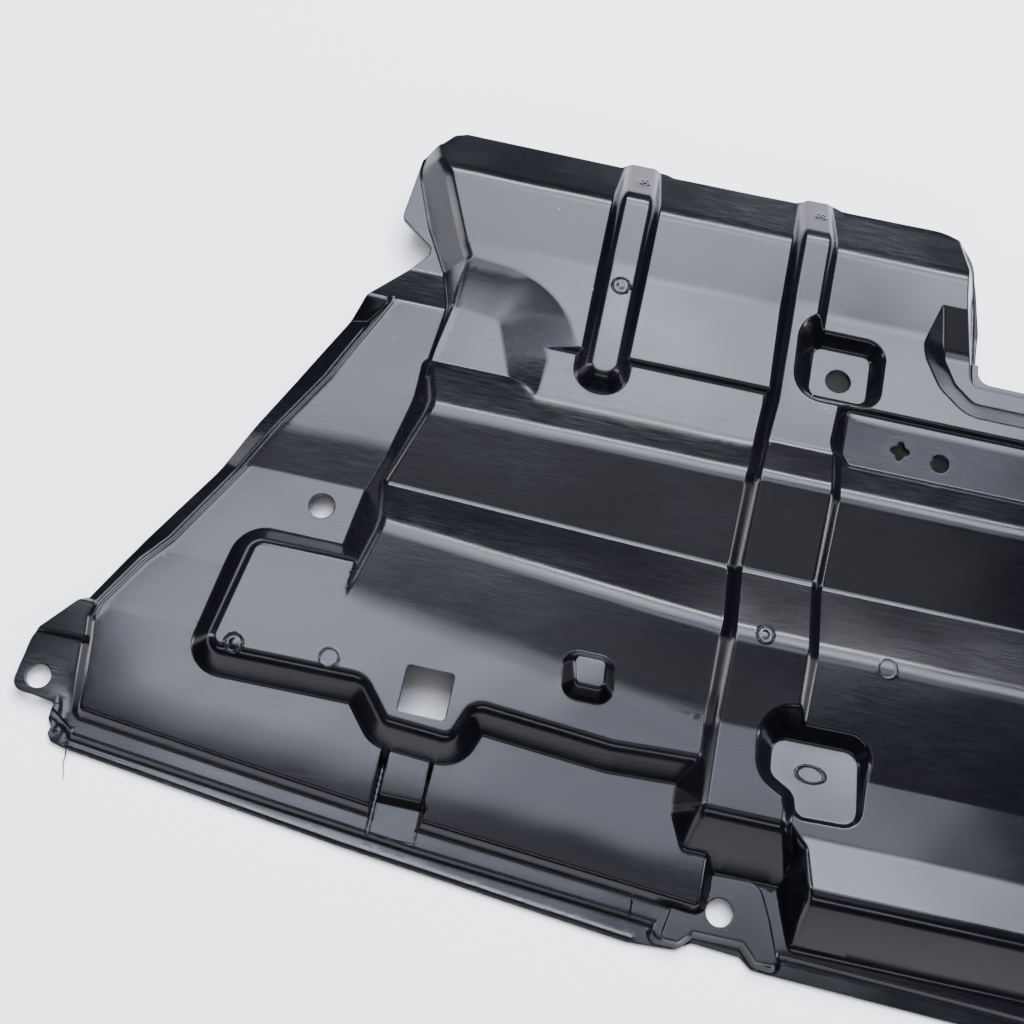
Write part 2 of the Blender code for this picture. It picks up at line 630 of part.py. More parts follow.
def upper_mesh(relief):
    """Triangles of the upper surface, along every line of the relief, the sheet's edge and its holes."""
    points, edges = [], []

    def add(line, closed):
        base = len(points)
        points.extend(Vector(p) for p in line)
        count = len(line)
        edges.extend((base + k, base + (k + 1) % count) for k in range(count if closed else count - 1))

    rim = even_line(sheet_edge())
    rim = thinned(np.column_stack([rim, relief.height(*rim.T)]), ROW_TOLERANCE)[:-1, :2]
    add(rim, True)
    cuts = []
    for hole, both in holes():
        cuts.append(hole * (-1, 1))
        if both:
            cuts.append(hole)
    for cut in cuts:
        add(cut, True)
    for line in relief.lines():
        away = np.ones(len(line), bool)
        for cut in cuts:
            away &= outside_distance(cut, *line.T) > 0.6
        add(line[away], False)
    flat, _, faces, _, _, _ = delaunay_2d_cdt(points, edges, [], 0, 0.35)
    flat = np.array([tuple(p) for p in flat])
    faces = np.array([f for f in faces if len(f) == 3])
    middle = flat[faces].mean(axis=1)
    keep = outside_distance(rim, *middle.T) < 0
    for cut in cuts:
        keep &= outside_distance(cut, *middle.T) > 0
    faces = faces[keep]
    used = np.unique(faces)
    index = np.full(len(flat), -1)
    index[used] = np.arange(len(used))
    flat, faces = flat[used], index[faces]
    a, b, c = flat[faces].transpose(1, 0, 2)
    turned = (b[:, 0] - a[:, 0]) * (c[:, 1] - a[:, 1]) - (b[:, 1] - a[:, 1]) * (c[:, 0] - a[:, 0]) < 0
    faces[turned] = faces[turned][:, ::-1]
    return np.column_stack([flat, relief.height(*flat.T)]), faces


def even_line(outline):
    line = []
    for a, b in zip(outline, np.roll(outline, -1, axis=0)):
        count = max(1, int(np.hypot(*(b - a)) / SAMPLE))
        line += [a + (b - a) * k / count for k in range(count)]
    return np.array(line + [line[0]])


def wall_offsets(top, faces):
    """How far each point of the upper surface moves so that every face beside it moves in by one unit."""
    a, b, c = top[faces].transpose(1, 0, 2)
    normal = np.cross(b - a, c - a)
    area = np.linalg.norm(normal, axis=1, keepdims=True)
    normal = normal / np.maximum(area, 1e-9)
    offsets = np.zeros(top.shape)
    matrix = np.zeros((len(top), 3, 3))
    right = np.zeros(top.shape)
    for corner in range(3):
        p = top[faces[:, corner]]
        q = top[faces[:, (corner + 1) % 3]] - p
        r = top[faces[:, (corner + 2) % 3]] - p
        cosine = (q * r).sum(1) / np.maximum(np.linalg.norm(q, axis=1) * np.linalg.norm(r, axis=1), 1e-9)
        weight = np.arccos(np.clip(cosine, -1, 1))[:, None]
        np.add.at(matrix, faces[:, corner], weight[:, :, None] * normal[:, :, None] * normal[:, None, :])
        np.add.at(right, faces[:, corner], weight * normal)
    value, vector = np.linalg.eigh(matrix)
    share = np.where(value > 0.02 * value[:, -1:], 1 / np.maximum(value, 1e-12), 0)
    offsets = np.einsum("nij,nj,nkj,nk->ni", vector, share, vector, right)
    length = np.linalg.norm(offsets, axis=1, keepdims=True)
    return offsets * np.minimum(1, 1.8 / length)


def lower_points(top, faces):
    """The lower surface: the upper one moved in by the wall, eased where a tight corner would fold it over.

    No point of it reaches below the flat underside of the lowest face, which is what the sheet lies on.
    """
    offsets = wall_offsets(top, faces)
    upright = np.zeros(top.shape)
    upright[:, 2] = EASED_WALLS
    share = np.ones((len(top), 1))
    for _ in range(HALVINGS):
        low = top - WALL * (share * offsets + (1 - share) * upright)
        a, b, c = low[faces][:, :, :2].transpose(1, 0, 2)
        area = (b[:, 0] - a[:, 0]) * (c[:, 1] - a[:, 1]) - (b[:, 1] - a[:, 1]) * (c[:, 0] - a[:, 0])
        folded_over = faces[area < 0.02]
        if not len(folded_over):
            break
        share[np.unique(folded_over)] = np.maximum(share[np.unique(folded_over)] - 0.25, 0)
    low[:, 2] = np.maximum(low[:, 2], top[:, 2].min() - WALL)
    return low


def closed_sheet(top, faces):
    """Upper and lower surface, joined by a wall along each free edge."""
    count = len(top)
    low = lower_points(top, faces)
    sides = [(int(face[k]), int(face[(k + 1) % 3])) for face in faces for k in range(3)]
    paired = set(sides)
    walls = []
    for a, b in sides:
        if (b, a) not in paired:
            walls.append((b, a, a + count))
            walls.append((b, a + count, b + count))
    return np.vstack([top, low]), np.vstack([faces, faces[:, ::-1] + count, walls])


def black_plastic():
    material = bpy.data.materials.new("black_plastic")
    material.use_nodes = True
    shader = material.node_tree.nodes["Principled BSDF"]
    shader.inputs["Base Color"].default_value = PLASTIC_COLOUR
    shader.inputs["Roughness"].default_value = PLASTIC_ROUGHNESS
    shader.inputs["Metallic"].default_value = 0.0
    return material


def build():
    for old in list(bpy.data.objects):
        bpy.data.objects.remove(old, do_unlink=True)
    relief = Relief()
    top, faces = upper_mesh(relief)
    points, triangles = closed_sheet(top, faces)
    low, high = points.min(axis=0), points.max(axis=0)
    points = points - ((low[0] + high[0]) / 2, (low[1] + high[1]) / 2, low[2])
    mesh = bpy.data.meshes.new("splash_shield")
    mesh.from_pydata((points * MM).tolist(), [], triangles.tolist())
    mesh.materials.append(black_plastic())
    shield = bpy.data.objects.new("splash_shield", mesh)
    bpy.context.scene.collection.objects.link(shield)
    print("splash_shield:", len(triangles), "triangles,", np.round(high - low, 1), "mm")


build()
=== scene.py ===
# %% [markdown]
# # The looks of an engine splash shield
# An engine splash shield is one large moulding of black plastic, 2.5 mm thick, that closes the engine bay
# from below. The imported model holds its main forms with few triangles. This script makes the surface that
# one sees: the small radii at every edge, the marks of the mould, and a finish that has been rubbed.

# %% The frame
import math
from concurrent.futures import ThreadPoolExecutor

import bpy
import numpy as np
from mathutils import Matrix, Vector
from mathutils.geometry import delaunay_2d_cdt


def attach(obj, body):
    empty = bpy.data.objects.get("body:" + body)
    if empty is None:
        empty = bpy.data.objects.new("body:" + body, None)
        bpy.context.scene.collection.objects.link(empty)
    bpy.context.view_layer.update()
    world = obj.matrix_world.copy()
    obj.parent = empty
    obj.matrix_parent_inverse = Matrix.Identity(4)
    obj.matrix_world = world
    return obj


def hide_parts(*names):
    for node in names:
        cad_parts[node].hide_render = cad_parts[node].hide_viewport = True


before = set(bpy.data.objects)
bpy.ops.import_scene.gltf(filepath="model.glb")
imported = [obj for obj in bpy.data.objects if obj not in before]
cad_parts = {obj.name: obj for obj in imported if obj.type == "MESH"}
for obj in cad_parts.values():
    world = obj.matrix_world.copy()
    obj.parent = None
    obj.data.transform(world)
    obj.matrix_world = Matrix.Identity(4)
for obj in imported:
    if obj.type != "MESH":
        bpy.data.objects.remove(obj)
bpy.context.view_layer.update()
MM = 0.001

# %% [markdown]
# ## The camera comes first
# The photograph looks down on the left half of the shield from the front. The viewing angle was worked out
# from the folds that run parallel and from how round the bolt holes look. The camera's three axes are
# written out from those angles, which is surer than aiming it at a target and then rolling it.

# %% Camera
CAMERA_UP = math.radians(68.5)
CAMERA_ASIDE = math.radians(3.3)
CAMERA_ROLL = math.radians(9.1)
CAMERA_AWAY = 0.700
CAMERA_LENS = 49.2
LOOKED_AT = Vector((-0.300, -0.0026, 0.0005))


def camera_axes(up, aside, roll):
    """The camera's right, up and backward axes, from its height over the ground, its bearing and its roll."""
    back = Vector((math.sin(aside) * math.cos(up), -math.cos(aside) * math.cos(up), math.sin(up)))
    level = Vector((math.cos(aside), math.sin(aside), 0))
    upright = back.cross(level)
    right = math.cos(roll) * level + math.sin(roll) * upright
    return right, back.cross(right), back


backward = camera_axes(CAMERA_UP, CAMERA_ASIDE, CAMERA_ROLL)[2]
print("From the shield to the camera:", [round(c, 3) for c in backward])


# %% The camera itself
def add_camera():
    """A camera that stands CAMERA_AWAY from the place it looks at, along its own backward axis."""
    right, upright, back = camera_axes(CAMERA_UP, CAMERA_ASIDE, CAMERA_ROLL)
    data = bpy.data.cameras.new("photo_camera")
    data.sensor_width = 36.0
    data.lens = CAMERA_LENS
    data.clip_start = 0.01
    data.clip_end = 20.0
    camera = bpy.data.objects.new("photo_camera", data)
    turned = Matrix((right, upright, back)).transposed().to_4x4()
    camera.matrix_world = Matrix.Translation(LOOKED_AT + back * CAMERA_AWAY) @ turned
    bpy.context.scene.collection.objects.link(camera)
    bpy.context.scene.camera = camera
    return camera


camera = add_camera()
print("Camera at", [round(c, 3) for c in camera.matrix_world.translation])

# %% [markdown]
# ## Light and floor
# Glossy black plastic shows its form only by what it mirrors. The four window lights overhead stand where
# level faces mirror them into the camera. Together they are one large soft window, strongest behind and to
# the left. A weak light over the front is mirrored by the faces of the waves, and faces that lean further
# mirror the dark room. The narrow lights behind, before and beside the shield are mirrored by rounded edges
# alone, and each draws a line of light along them.

# %% Lights
PALE = (0.96, 0.95, 0.93, 1)
COOL, NEUTRAL = (0.80, 0.84, 1.0), (0.92, 0.94, 1.0)
ROOM, ROOM_STRENGTH = (0.80, 0.83, 0.92, 1), 0.03
FLOOR_HALF = 6.0
LIT_AT = (-0.2, 0.0, 0.0)
LIGHTS = [  # name, place, size, power, tint
    ("window_rear", (0.02, 1.20, 1.85), (1.92, 0.55), 66, COOL),
    ("window_left", (-0.475, 0.62, 1.85), (1.15, 0.65), 44, COOL),
    ("window_right", (0.375, 0.78, 1.85), (0.55, 0.33), 10, COOL),
    ("window_front", (-0.225, 0.13, 1.85), (1.55, 0.34), 16, COOL),
    ("ceiling_light", (-0.3, -0.62, 1.85), (1.7, 0.95), 8, NEUTRAL),
    ("shoulder_light", (-0.1, 1.95, 1.75), (1.7, 0.22), 84, NEUTRAL),
    ("front_light", (-0.3, -1.9, 1.1), (2.2, 0.25), 14, NEUTRAL),
    ("left_light", (-2.2, 0.1, 0.85), (0.25, 2.0), 26, NEUTRAL),
    ("right_light", (1.8, 0.1, 0.85), (0.25, 2.0), 30, NEUTRAL)]


def add_soft_light(name, place, size, power, tint):
    """A rectangular light of the given size at a place, turned to the part of the shield that is seen."""
    data = bpy.data.lights.new(name, "AREA")
    data.shape = "RECTANGLE"
    data.size, data.size_y = size
    data.energy = power
    data.color = tint
    lamp = bpy.data.objects.new(name, data)
    lamp.location = place
    lamp.rotation_euler = (Vector(LIT_AT) - Vector(place)).to_track_quat("-Z", "Y").to_euler()
    bpy.context.scene.collection.objects.link(lamp)
    return lamp


for light in LIGHTS:
    add_soft_light(*light)


# %% Floor and room
def add_floor():
    """A pale sheet of paper that fills the view, level with the lowest point of the shield."""
    half = FLOOR_HALF
    mesh = bpy.data.meshes.new("paper_floor")
    corners = [(-half, -half, 0), (half, -half, 0), (half, half, 0), (-half, half, 0)]
    mesh.from_pydata(corners, [], [(0, 1, 2, 3)])
    paper = bpy.data.materials.new("pale_paper")
    paper.use_nodes = True
    shader = paper.node_tree.nodes["Principled BSDF"]
    shader.inputs["Base Color"].default_value = PALE
    shader.inputs["Roughness"].default_value = 0.9
    shader.inputs["Specular IOR Level"].default_value = 0.1
    mesh.materials.append(paper)
    floor = bpy.data.objects.new("paper_floor", mesh)
    bpy.context.scene.collection.objects.link(floor)


def set_room(colour, strength):
    """The dim even light of the room, from all round."""
    room = bpy.data.worlds.new("room")
    room.use_nodes = True
    background = room.node_tree.nodes["Background"]
    background.inputs["Color"].default_value = colour
    background.inputs["Strength"].default_value = strength
    bpy.context.scene.world = room


add_floor()
set_room(ROOM, ROOM_STRENGTH)
print("The floor is", 2 * FLOOR_HALF, "m wide and the room's own light is", ROOM_STRENGTH)

# %% [markdown]
# ## The relief, again
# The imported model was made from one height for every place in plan. The same heights are written here, in
# millimetres, as (out, back): out from the centre line, and back from the front line. What is new are the
# fillets: real plastic never has a sharp foot, and the bright hairline in each corner of the photograph is
# that small radius.

# %% Heights and places
WALL = 2.5
DRAFT = 0.7
SHOULDER = 3.0
STEP_SHOULDER = 0.8
WING_SHOULDER = 1.4
FOOT = 1.0
BRIM = 1.1
LEDGE_Z, FLANGE_Z, STEP_Z, PANEL_Z = 2.0, 6.0, 9.0, 14.0
WING_Z, WING_MIDDLE_Z, WING_REAR_Z, WING_CREST_Z = 12.0, 19.0, 23.0, 25.0
EAR_Z, EAR_REAR_Z, SKIRT_DROP, SKIRT_TILT = 17.5, 24.0, 5.0, 0.3
PLATEAU_Z, VALLEY_Z, SHELF_Z, DECK_Z, DECK_FOLD_Z = 28.0, 24.0, 31.0, 34.5, 35.0
CREST_DE_Z, CREST_EF_Z, SHOULDER_Z, RIM_Z, BROW_Z = 38.0, 36.0, 40.0, 25.0, 33.0
CHANNEL_RISE, RIB_RISE, BOSS_RISE = 8.0, 8.0, 10.0
REAR_EDGE, REAR_SHOULDER, DECK_FOLD, DECK_FRONT = 388.0, 355.0, 317.0, 270.0
SHELF_FRONT, CREST_CD, VALLEY_DE, CREST_EF = 240.0, 220.0, 176.0, 141.0
PLATEAU_FOLD_OUT, PLATEAU_FOLD_MID, BROW_FOLD, BROW, BROW_FOOT = 98.0, 87.0, 57.0, 31.5, 10.0
DECK_STEP_RUN, RAMP_RUN, RAMP_DROP, BROW_FALL = 1.8, 38.0, 8.0, 1.2
FOLD_SOFT, BROW_SOFT, CREASE_SOFT, SPINE_LEAD, SPINE_SINK = 5.0, 4.0, 1.0, 2.0, 1.0
FAN_FROM, FAN_VALLEY, FAN_CREST, FAN_PLATEAU = 172.0, 0.03, 0.087, 0.125
WING_NEAR, WING_BEND, WING_RISE_FROM, WING_STEEP_TO, WING_EASE_TO = 95.0, 129.0, 180.0, 202.0, 236.0
WING_CREST, WING_DROP_END, EAR_FROM, EAR_TO, SKIRT_FADE = 280.0, 304.0, 330.0, 366.0, 12.0
CHANNEL_OUT, CHANNEL_WIDTH, CHANNEL_REAR_WIDTH, CHANNEL_REAR_OUT = 170.0, 37.0, 15.0, 177.0
CHANNEL_WIDEN, CHANNEL_FRONT, CHANNEL_TOE, CHANNEL_DRAFT = 262.0, 58.0, 36.0, 0.5
RIB_OUT, RIB_WIDTH, RIB_END, RIB_TAIL, RIB_SINK = 271.0, 15.0, 255.0, 3.0, 2.0
PLATE_RISE, NOTCH_FLANGE_Z, NOTCH_LEVEL_TO, NOTCH_TOP, NOTCH_TOP_Z = 0.9, 27.0, 314.0, 336.5, 37.5
NOTCH_DRAFT, LIP_DROP, LIP_DRAFT = 1.6, 4.5, 0.5
DROOP, DROOP_RUN, DROOP_LIMIT, WING_FRONT, WING_FRONT_SLANT = 1.3, 22.0, 1.4, 20.0, 0.0887
BEYOND = 40.0
TALLEST = 50.0
print("The channel's crest stands", SHOULDER_Z + CHANNEL_RISE, "mm up, on a wall of", WALL, "mm")

# %% [markdown]
# A fold is where the height along the sheet changes its slope. On the real shield it is bent over a small
# radius. A parabola over the same stretch looks alike and needs no angle, so one short function makes every
# fold of the deck, of the waves and of the channels that run over them.


# %% Folded surfaces
def soft_ramp(t, soft):
    """Zero before a fold, t after it, and the parabola (t + soft)^2 / 4 soft within soft of it."""
    return np.where(np.abs(t) < soft, (t + soft) ** 2 / (4 * soft), np.maximum(t, 0))


def soft_lower(a, b, soft):
    """The lower of a and b, less (soft - |a - b|)^2 / 4 soft where they lie within soft of each other."""
    return np.minimum(a, b) - np.maximum(soft - np.abs(a - b), 0) ** 2 / (4 * soft)


def folded(folds):
    """A surface folded across the shield. At each fold, (back, height, soft, fan), the slope changes."""
    def height(u, v):
        lines = [back + fan * np.maximum(u - FAN_FROM, 0) for back, _, _, fan in folds]
        slope = (folds[1][1] - folds[0][1]) / (lines[1] - lines[0])
        z = folds[0][1] + slope * (v - lines[0])
        for k in range(1, len(folds) - 1):
            following = (folds[k + 1][1] - folds[k][1]) / (lines[k + 1] - lines[k])
            z = z + (following - slope) * soft_ramp(v - lines[k], max(folds[k][2], CREASE_SOFT))
            slope = following
        return z
    height.folds = folds
    return height


def level(z):
    """The same height everywhere."""
    def height(u, v):
        return np.full(np.shape(u), float(z))
    return height


steps = soft_ramp(np.array([-FOLD_SOFT, 0.0, FOLD_SOFT]), FOLD_SOFT)
print("A soft fold rises", np.round(steps, 2).tolist(), "mm before, at and after its line")

# %% [markdown]
# The wing outboard of the blocks is folded too, and it rounds off to its front edge. Outboard of its ridge
# the skirt falls away, and along the front lies the low ledge. Wing, skirt and ledge are the ground that all
# other forms stand on.

# %% Wing and ground
wing_folds = folded([
    (0.0, PANEL_Z, 0, 0), (WING_NEAR, PANEL_Z, 2, 0), (WING_BEND, WING_Z, 2, 0),
    (WING_RISE_FROM, WING_Z, 0, 0), (WING_STEEP_TO, WING_MIDDLE_Z, 4, 0),
    (WING_EASE_TO, WING_REAR_Z, 6, 0), (WING_CREST, WING_CREST_Z, 2, 0),
    (WING_DROP_END, EAR_Z, 2, 0), (EAR_FROM, EAR_Z, 2, 0), (EAR_TO, EAR_REAR_Z, 0, 0),
    (REAR_EDGE + BEYOND, EAR_REAR_Z, 0, 0)])


def wing_surface(u, v):
    """The folded wing, less DROOP * (1 - run / DROOP_RUN)^2 where it rounds off to its front edge."""
    front = WING_FRONT + WING_FRONT_SLANT * (u - CHANNEL_OUT)
    return wing_folds(u, v) - DROOP * np.clip(1 - (v - front) / DROOP_RUN, 0, DROOP_LIMIT) ** 2


wing_surface.folds = wing_folds.folds
skirt_fade = folded([(0, 1, 0, 0), (WING_CREST - SKIRT_FADE, 1, 0, 0), (WING_CREST, 0, 0, 0),
                     (REAR_EDGE, 0, 0, 0)])
RIDGE = [(382, 281), (403, 232), (432, 181), (456, 135), (466, 121.5), (479, 96), (480, 90)]


def ground(u, v):
    """The ledge along the front, and behind it the skirt: the wing less a drop that grows outward."""
    outs, backs = np.array(RIDGE).T
    beyond = np.maximum(u - np.interp(v, backs[::-1], outs[::-1]), 0)
    skirt = wing_surface(u, v) - skirt_fade(u, v) * (SKIRT_DROP + SKIRT_TILT * beyond)
    return np.where(v < WING_NEAR - 5, LEDGE_Z, skirt)


print("The wing rises from", WING_Z, "to", WING_CREST_Z, "mm and its ear lies at", EAR_Z, "mm")

# %% Folds of the raised blocks
DECK_FOLDS = [(REAR_EDGE, RIM_Z, 0, 0), (REAR_SHOULDER, SHOULDER_Z, FOLD_SOFT, 0),
              (DECK_FOLD, DECK_FOLD_Z, 3, 0), (DECK_FRONT, DECK_Z, 0, 0),
              (DECK_FRONT - DECK_STEP_RUN, SHELF_Z, 0, 0), (SHELF_FRONT - BEYOND, SHELF_Z, 0, 0)]
WAVE_FOLDS = [(SHELF_FRONT, SHELF_Z, 1.5, 0), (CREST_CD, CREST_DE_Z, FOLD_SOFT, 0),
              (VALLEY_DE, VALLEY_Z, 1.5, FAN_VALLEY), (CREST_EF, CREST_EF_Z, FOLD_SOFT, FAN_CREST)]
print("The deck has", len(DECK_FOLDS), "fold lines and the waves have", len(WAVE_FOLDS))

# %% [markdown]
# ## Outlines and forms
# Each raised or sunk shape is an outline, a face and a drafted wall. The wall's height falls with the
# distance from the outline, so a whole array of places gets its wall at once. The shoulder is where face and
# wall meet, and the foot is where the wall meets what lies below. Both are rounded with a parabola.

# %% Rounded outlines
CORNER_STEPS = 8


def arc_corner(before, corner, after, radius, steps):
    """Points round a corner: a circle of the radius, tangent to both of its sides."""
    corner = np.array(corner, float)
    a = np.array(before, float) - corner
    b = np.array(after, float) - corner
    room = 0.48 * min(np.hypot(*a), np.hypot(*b))
    a /= np.hypot(*a)
    b /= np.hypot(*b)
    half = math.acos(np.clip(a @ b, -1, 1)) / 2
    if radius <= 0 or half > 1.55 or half < 0.02:
        return corner[None]
    radius = min(radius, room * math.tan(half))
    centre = corner + (a + b) / np.hypot(*(a + b)) * radius / math.sin(half)
    start = corner + a * radius / math.tan(half) - centre
    turn = math.pi - 2 * half
    if start[0] * (corner - centre)[1] - start[1] * (corner - centre)[0] < 0:
        turn = -turn
    t = turn * np.arange(steps + 1) / steps
    return centre + np.stack([start[0] * np.cos(t) - start[1] * np.sin(t),
                              start[0] * np.sin(t) + start[1] * np.cos(t)], 1)


def rounded(corners, radius):
    """A closed outline with round corners. A corner may give its own radius as a third number."""
    count = len(corners)
    arcs = [arc_corner(corners[k - 1][:2], c[:2], corners[(k + 1) % count][:2],
                       c[2] if len(c) > 2 else radius, CORNER_STEPS) for k, c in enumerate(corners)]
    points = np.concatenate(arcs)
    x, y = points.T
    area = np.sum(x * np.roll(y, -1) - y * np.roll(x, -1))
    return points if area > 0 else points[::-1]


tile = rounded([(0, 0), (10, 0), (10, 10), (0, 10)], 2)
print("A square with round corners has", len(tile), "points")

# %% [markdown]
# The distance to an outline is asked for at hundreds of thousands of places. The places are shared out in
# chunks over the processor's cores, and the answers come back in the order in which they were asked for.

# %% Distance to an outline
AT_ONCE = 4000
CORES = ThreadPoolExecutor(4)


def outside_distance(outline, x, y):
    """Distance to the nearest side of a closed outline, negative inside it, for whole arrays of places."""
    if x.size > AT_ONCE:
        parts = np.array_split(np.arange(x.size), x.size // AT_ONCE + 1)
        return np.concatenate(list(CORES.map(lambda p: outside_distance(outline, x[p], y[p]), parts)))
    start = outline[:, :, None]
    run = (np.roll(outline, -1, axis=0) - outline)[:, :, None]
    dx, dy = x - start[:, 0], y - start[:, 1]
    along = np.clip((dx * run[:, 0] + dy * run[:, 1]) / (run ** 2).sum(axis=1), 0, 1)
    nearest = np.min((dx - along * run[:, 0]) ** 2 + (dy - along * run[:, 1]) ** 2, axis=0, initial=1e12)
    rise = np.where(run[:, 1] == 0, 1e-12, run[:, 1])
    crosses = ((dy < 0) != (dy - run[:, 1] < 0)) & (dx < run[:, 0] * dy / rise)
    return np.where(crosses.sum(axis=0) % 2 == 1, -1.0, 1.0) * np.sqrt(nearest)


away = outside_distance(tile, np.array([5.0, 12.0]), np.array([5.0, 5.0]))
print("The square's middle and a place beside it are", np.round(away, 2).tolist(), "mm away")


# %% One form
class Form:
    """One raised or sunk shape: a face, the outline where face and wall meet, and a drafted wall."""

    def __init__(self, name, outline, face, at=None, draft=DRAFT, soft=None, foot=None, sunk=False,
                 both=True, lean=None, creased=False):
        self.name, self.outline, self.face, self.at = name, outline, face, at or face
        self.draft, self.sunk, self.both, self.lean, self.creased = draft, sunk, both, lean, creased
        self.sign = -1.0 if sunk else 1.0
        self.shoulder = ((FOOT if sunk else SHOULDER) if soft is None else soft) / draft
        self.foot = ((BRIM if sunk else FOOT) if foot is None else foot) / draft

    def wall(self, u, v):
        """Height of the wall: the outline's height, less distance / draft (or more, where it is sunk)."""
        steepness = self.draft * (self.lean(v) if self.lean else 1)
        return self.at(u, v) - self.sign * outside_distance(self.outline, u, v) / steepness

    def joined(self, below, u, v):
        """The surface so far with this form laid over it, filleted where its wall meets that surface."""
        (low_u, low_v), (high_u, high_v) = self.outline.min(axis=0), self.outline.max(axis=0)
        reach = TALLEST * self.draft
        near = (u > low_u - reach) & (u < high_u + reach) & (v > low_v - reach) & (v < high_v + reach)
        face = self.sign * self.face(u[near], v[near])
        wall = self.sign * self.wall(u[near], v[near])
        under = self.sign * below[near]
        own = soft_lower(face, wall, self.shoulder)
        fillet = np.maximum(self.foot - np.abs(under - own), 0) ** 2 / (4 * self.foot)
        if not self.creased:
            fillet = fillet * np.clip((face - wall) / self.foot, 0, 1)
        over = below.copy()
        over[near] = self.sign * (np.maximum(under, own) + fillet)
        return over


raised = Form("tile", tile, level(PANEL_Z))
print("Its wall 2 mm out is at", round(float(raised.wall(np.array([12.0]), np.array([5.0]))[0]), 2), "mm")

# %% [markdown]
# The forms are made in the order in which they lie over each other. The first are the low ones along the
# front: strips, tabs and the step between them, and the wing behind. The narrow slots beside the tongue are
# sunk forms with steep walls.

# %% Front flange and wing
SLOT_FLOOR_Z = 5.0


def flange_forms():
    """The strips, tabs and steps of the low front flange, and the wing behind it."""
    return [
        Form("side strip", rounded([(475, 35.5), (383, 25.7), (309, 18.4), (194.5, 9.7, 2), (194.5, 60),
                                    (475, 60)], 0.5), level(FLANGE_Z), soft=STEP_SHOULDER, foot=0.5),
        Form("middle strip", rounded([(143, 8), (29, 3.9), (-BEYOND, 3.2), (-BEYOND, 60), (143, 60)], 0.5),
             level(FLANGE_Z), soft=STEP_SHOULDER, foot=0.5),
        Form("side tab", rounded([(520, 82), (520, 44), (486, 44), (477, 38), (460, 38), (460, 82)], 2),
             level(FLANGE_Z), soft=STEP_SHOULDER, foot=0.5),
        Form("front tab", rounded([(197, 3), (186, 3), (180, 9), (157, 9), (150, 2), (141, 1), (141, 40),
                                   (197, 40)], 3), level(FLANGE_Z), soft=STEP_SHOULDER, foot=0.5),
        Form("side step", rounded([(520, 80), (478, 80), (470, 97), (520, 97)], 2), level(STEP_Z),
             soft=STEP_SHOULDER, foot=0.5),
        Form("wing", rounded([(382, 281)] + RIDGE[1:] + [(477.5, 77), (473, 46.4), (386, 36.9), (333, 31.5),
                             (309, 29.7), (197, 21.2), (180, 20), (180, 400), (420, 400), (420, 300),
                             (393, 282)], 2), wing_surface, soft=WING_SHOULDER, foot=0.7),
        Form("tongue front", rounded([(331, 20), (311, 20), (311, 35), (331, 35)], 0.5), level(FLANGE_Z),
             draft=0.4, sunk=True, foot=0.9, soft=0.6),
        Form("outer slot", rounded([(333, 17), (331.4, 17), (331.4, 60), (333, 60)], 0.3),
             level(SLOT_FLOOR_Z), draft=0.12, sunk=True, foot=0.25, soft=0.2),
        Form("inner slot", rounded([(310.6, 17), (309.9, 17), (309.9, 60), (310.6, 60)], 0.2),
             level(SLOT_FLOOR_Z), draft=0.06, sunk=True, foot=0.2, soft=0.15),
        Form("strip gap", rounded([(209.3, -4), (208.8, -4), (208.8, 16), (209.3, 16)], 0.1),
             level(FLANGE_Z - 1.6), draft=0.12, sunk=True, foot=0.15, soft=0.1)]


forms = flange_forms()
print("Front:", [form.name for form in forms])

# %% [markdown]
# The raised blocks carry the deck, the waves and the plateau. Each is one folded surface inside one outline.
# The scoop is a soft hollow beside the deck, and its long wall leans out most at the step of the deck.

# %% Raised blocks
SCOOP_Z, SCOOP_DRAFT = 26.5, 4.0


def block_edge_height(u, v):
    """Height at which the outer block's outline is drawn: low beside the wing, and its own edge behind."""
    return np.interp(v, [230, 284, 308, REAR_SHOULDER], [24, SHELF_Z, DECK_FOLD_Z, SHOULDER_Z])


def scoop_lean(v):
    """The scoop's wall is steep at its front end, flattest at the deck step, and steeper again behind."""
    return np.interp(v, [236, 262, 285, 303], [0.55, 1.15, 1.05, 0.8])


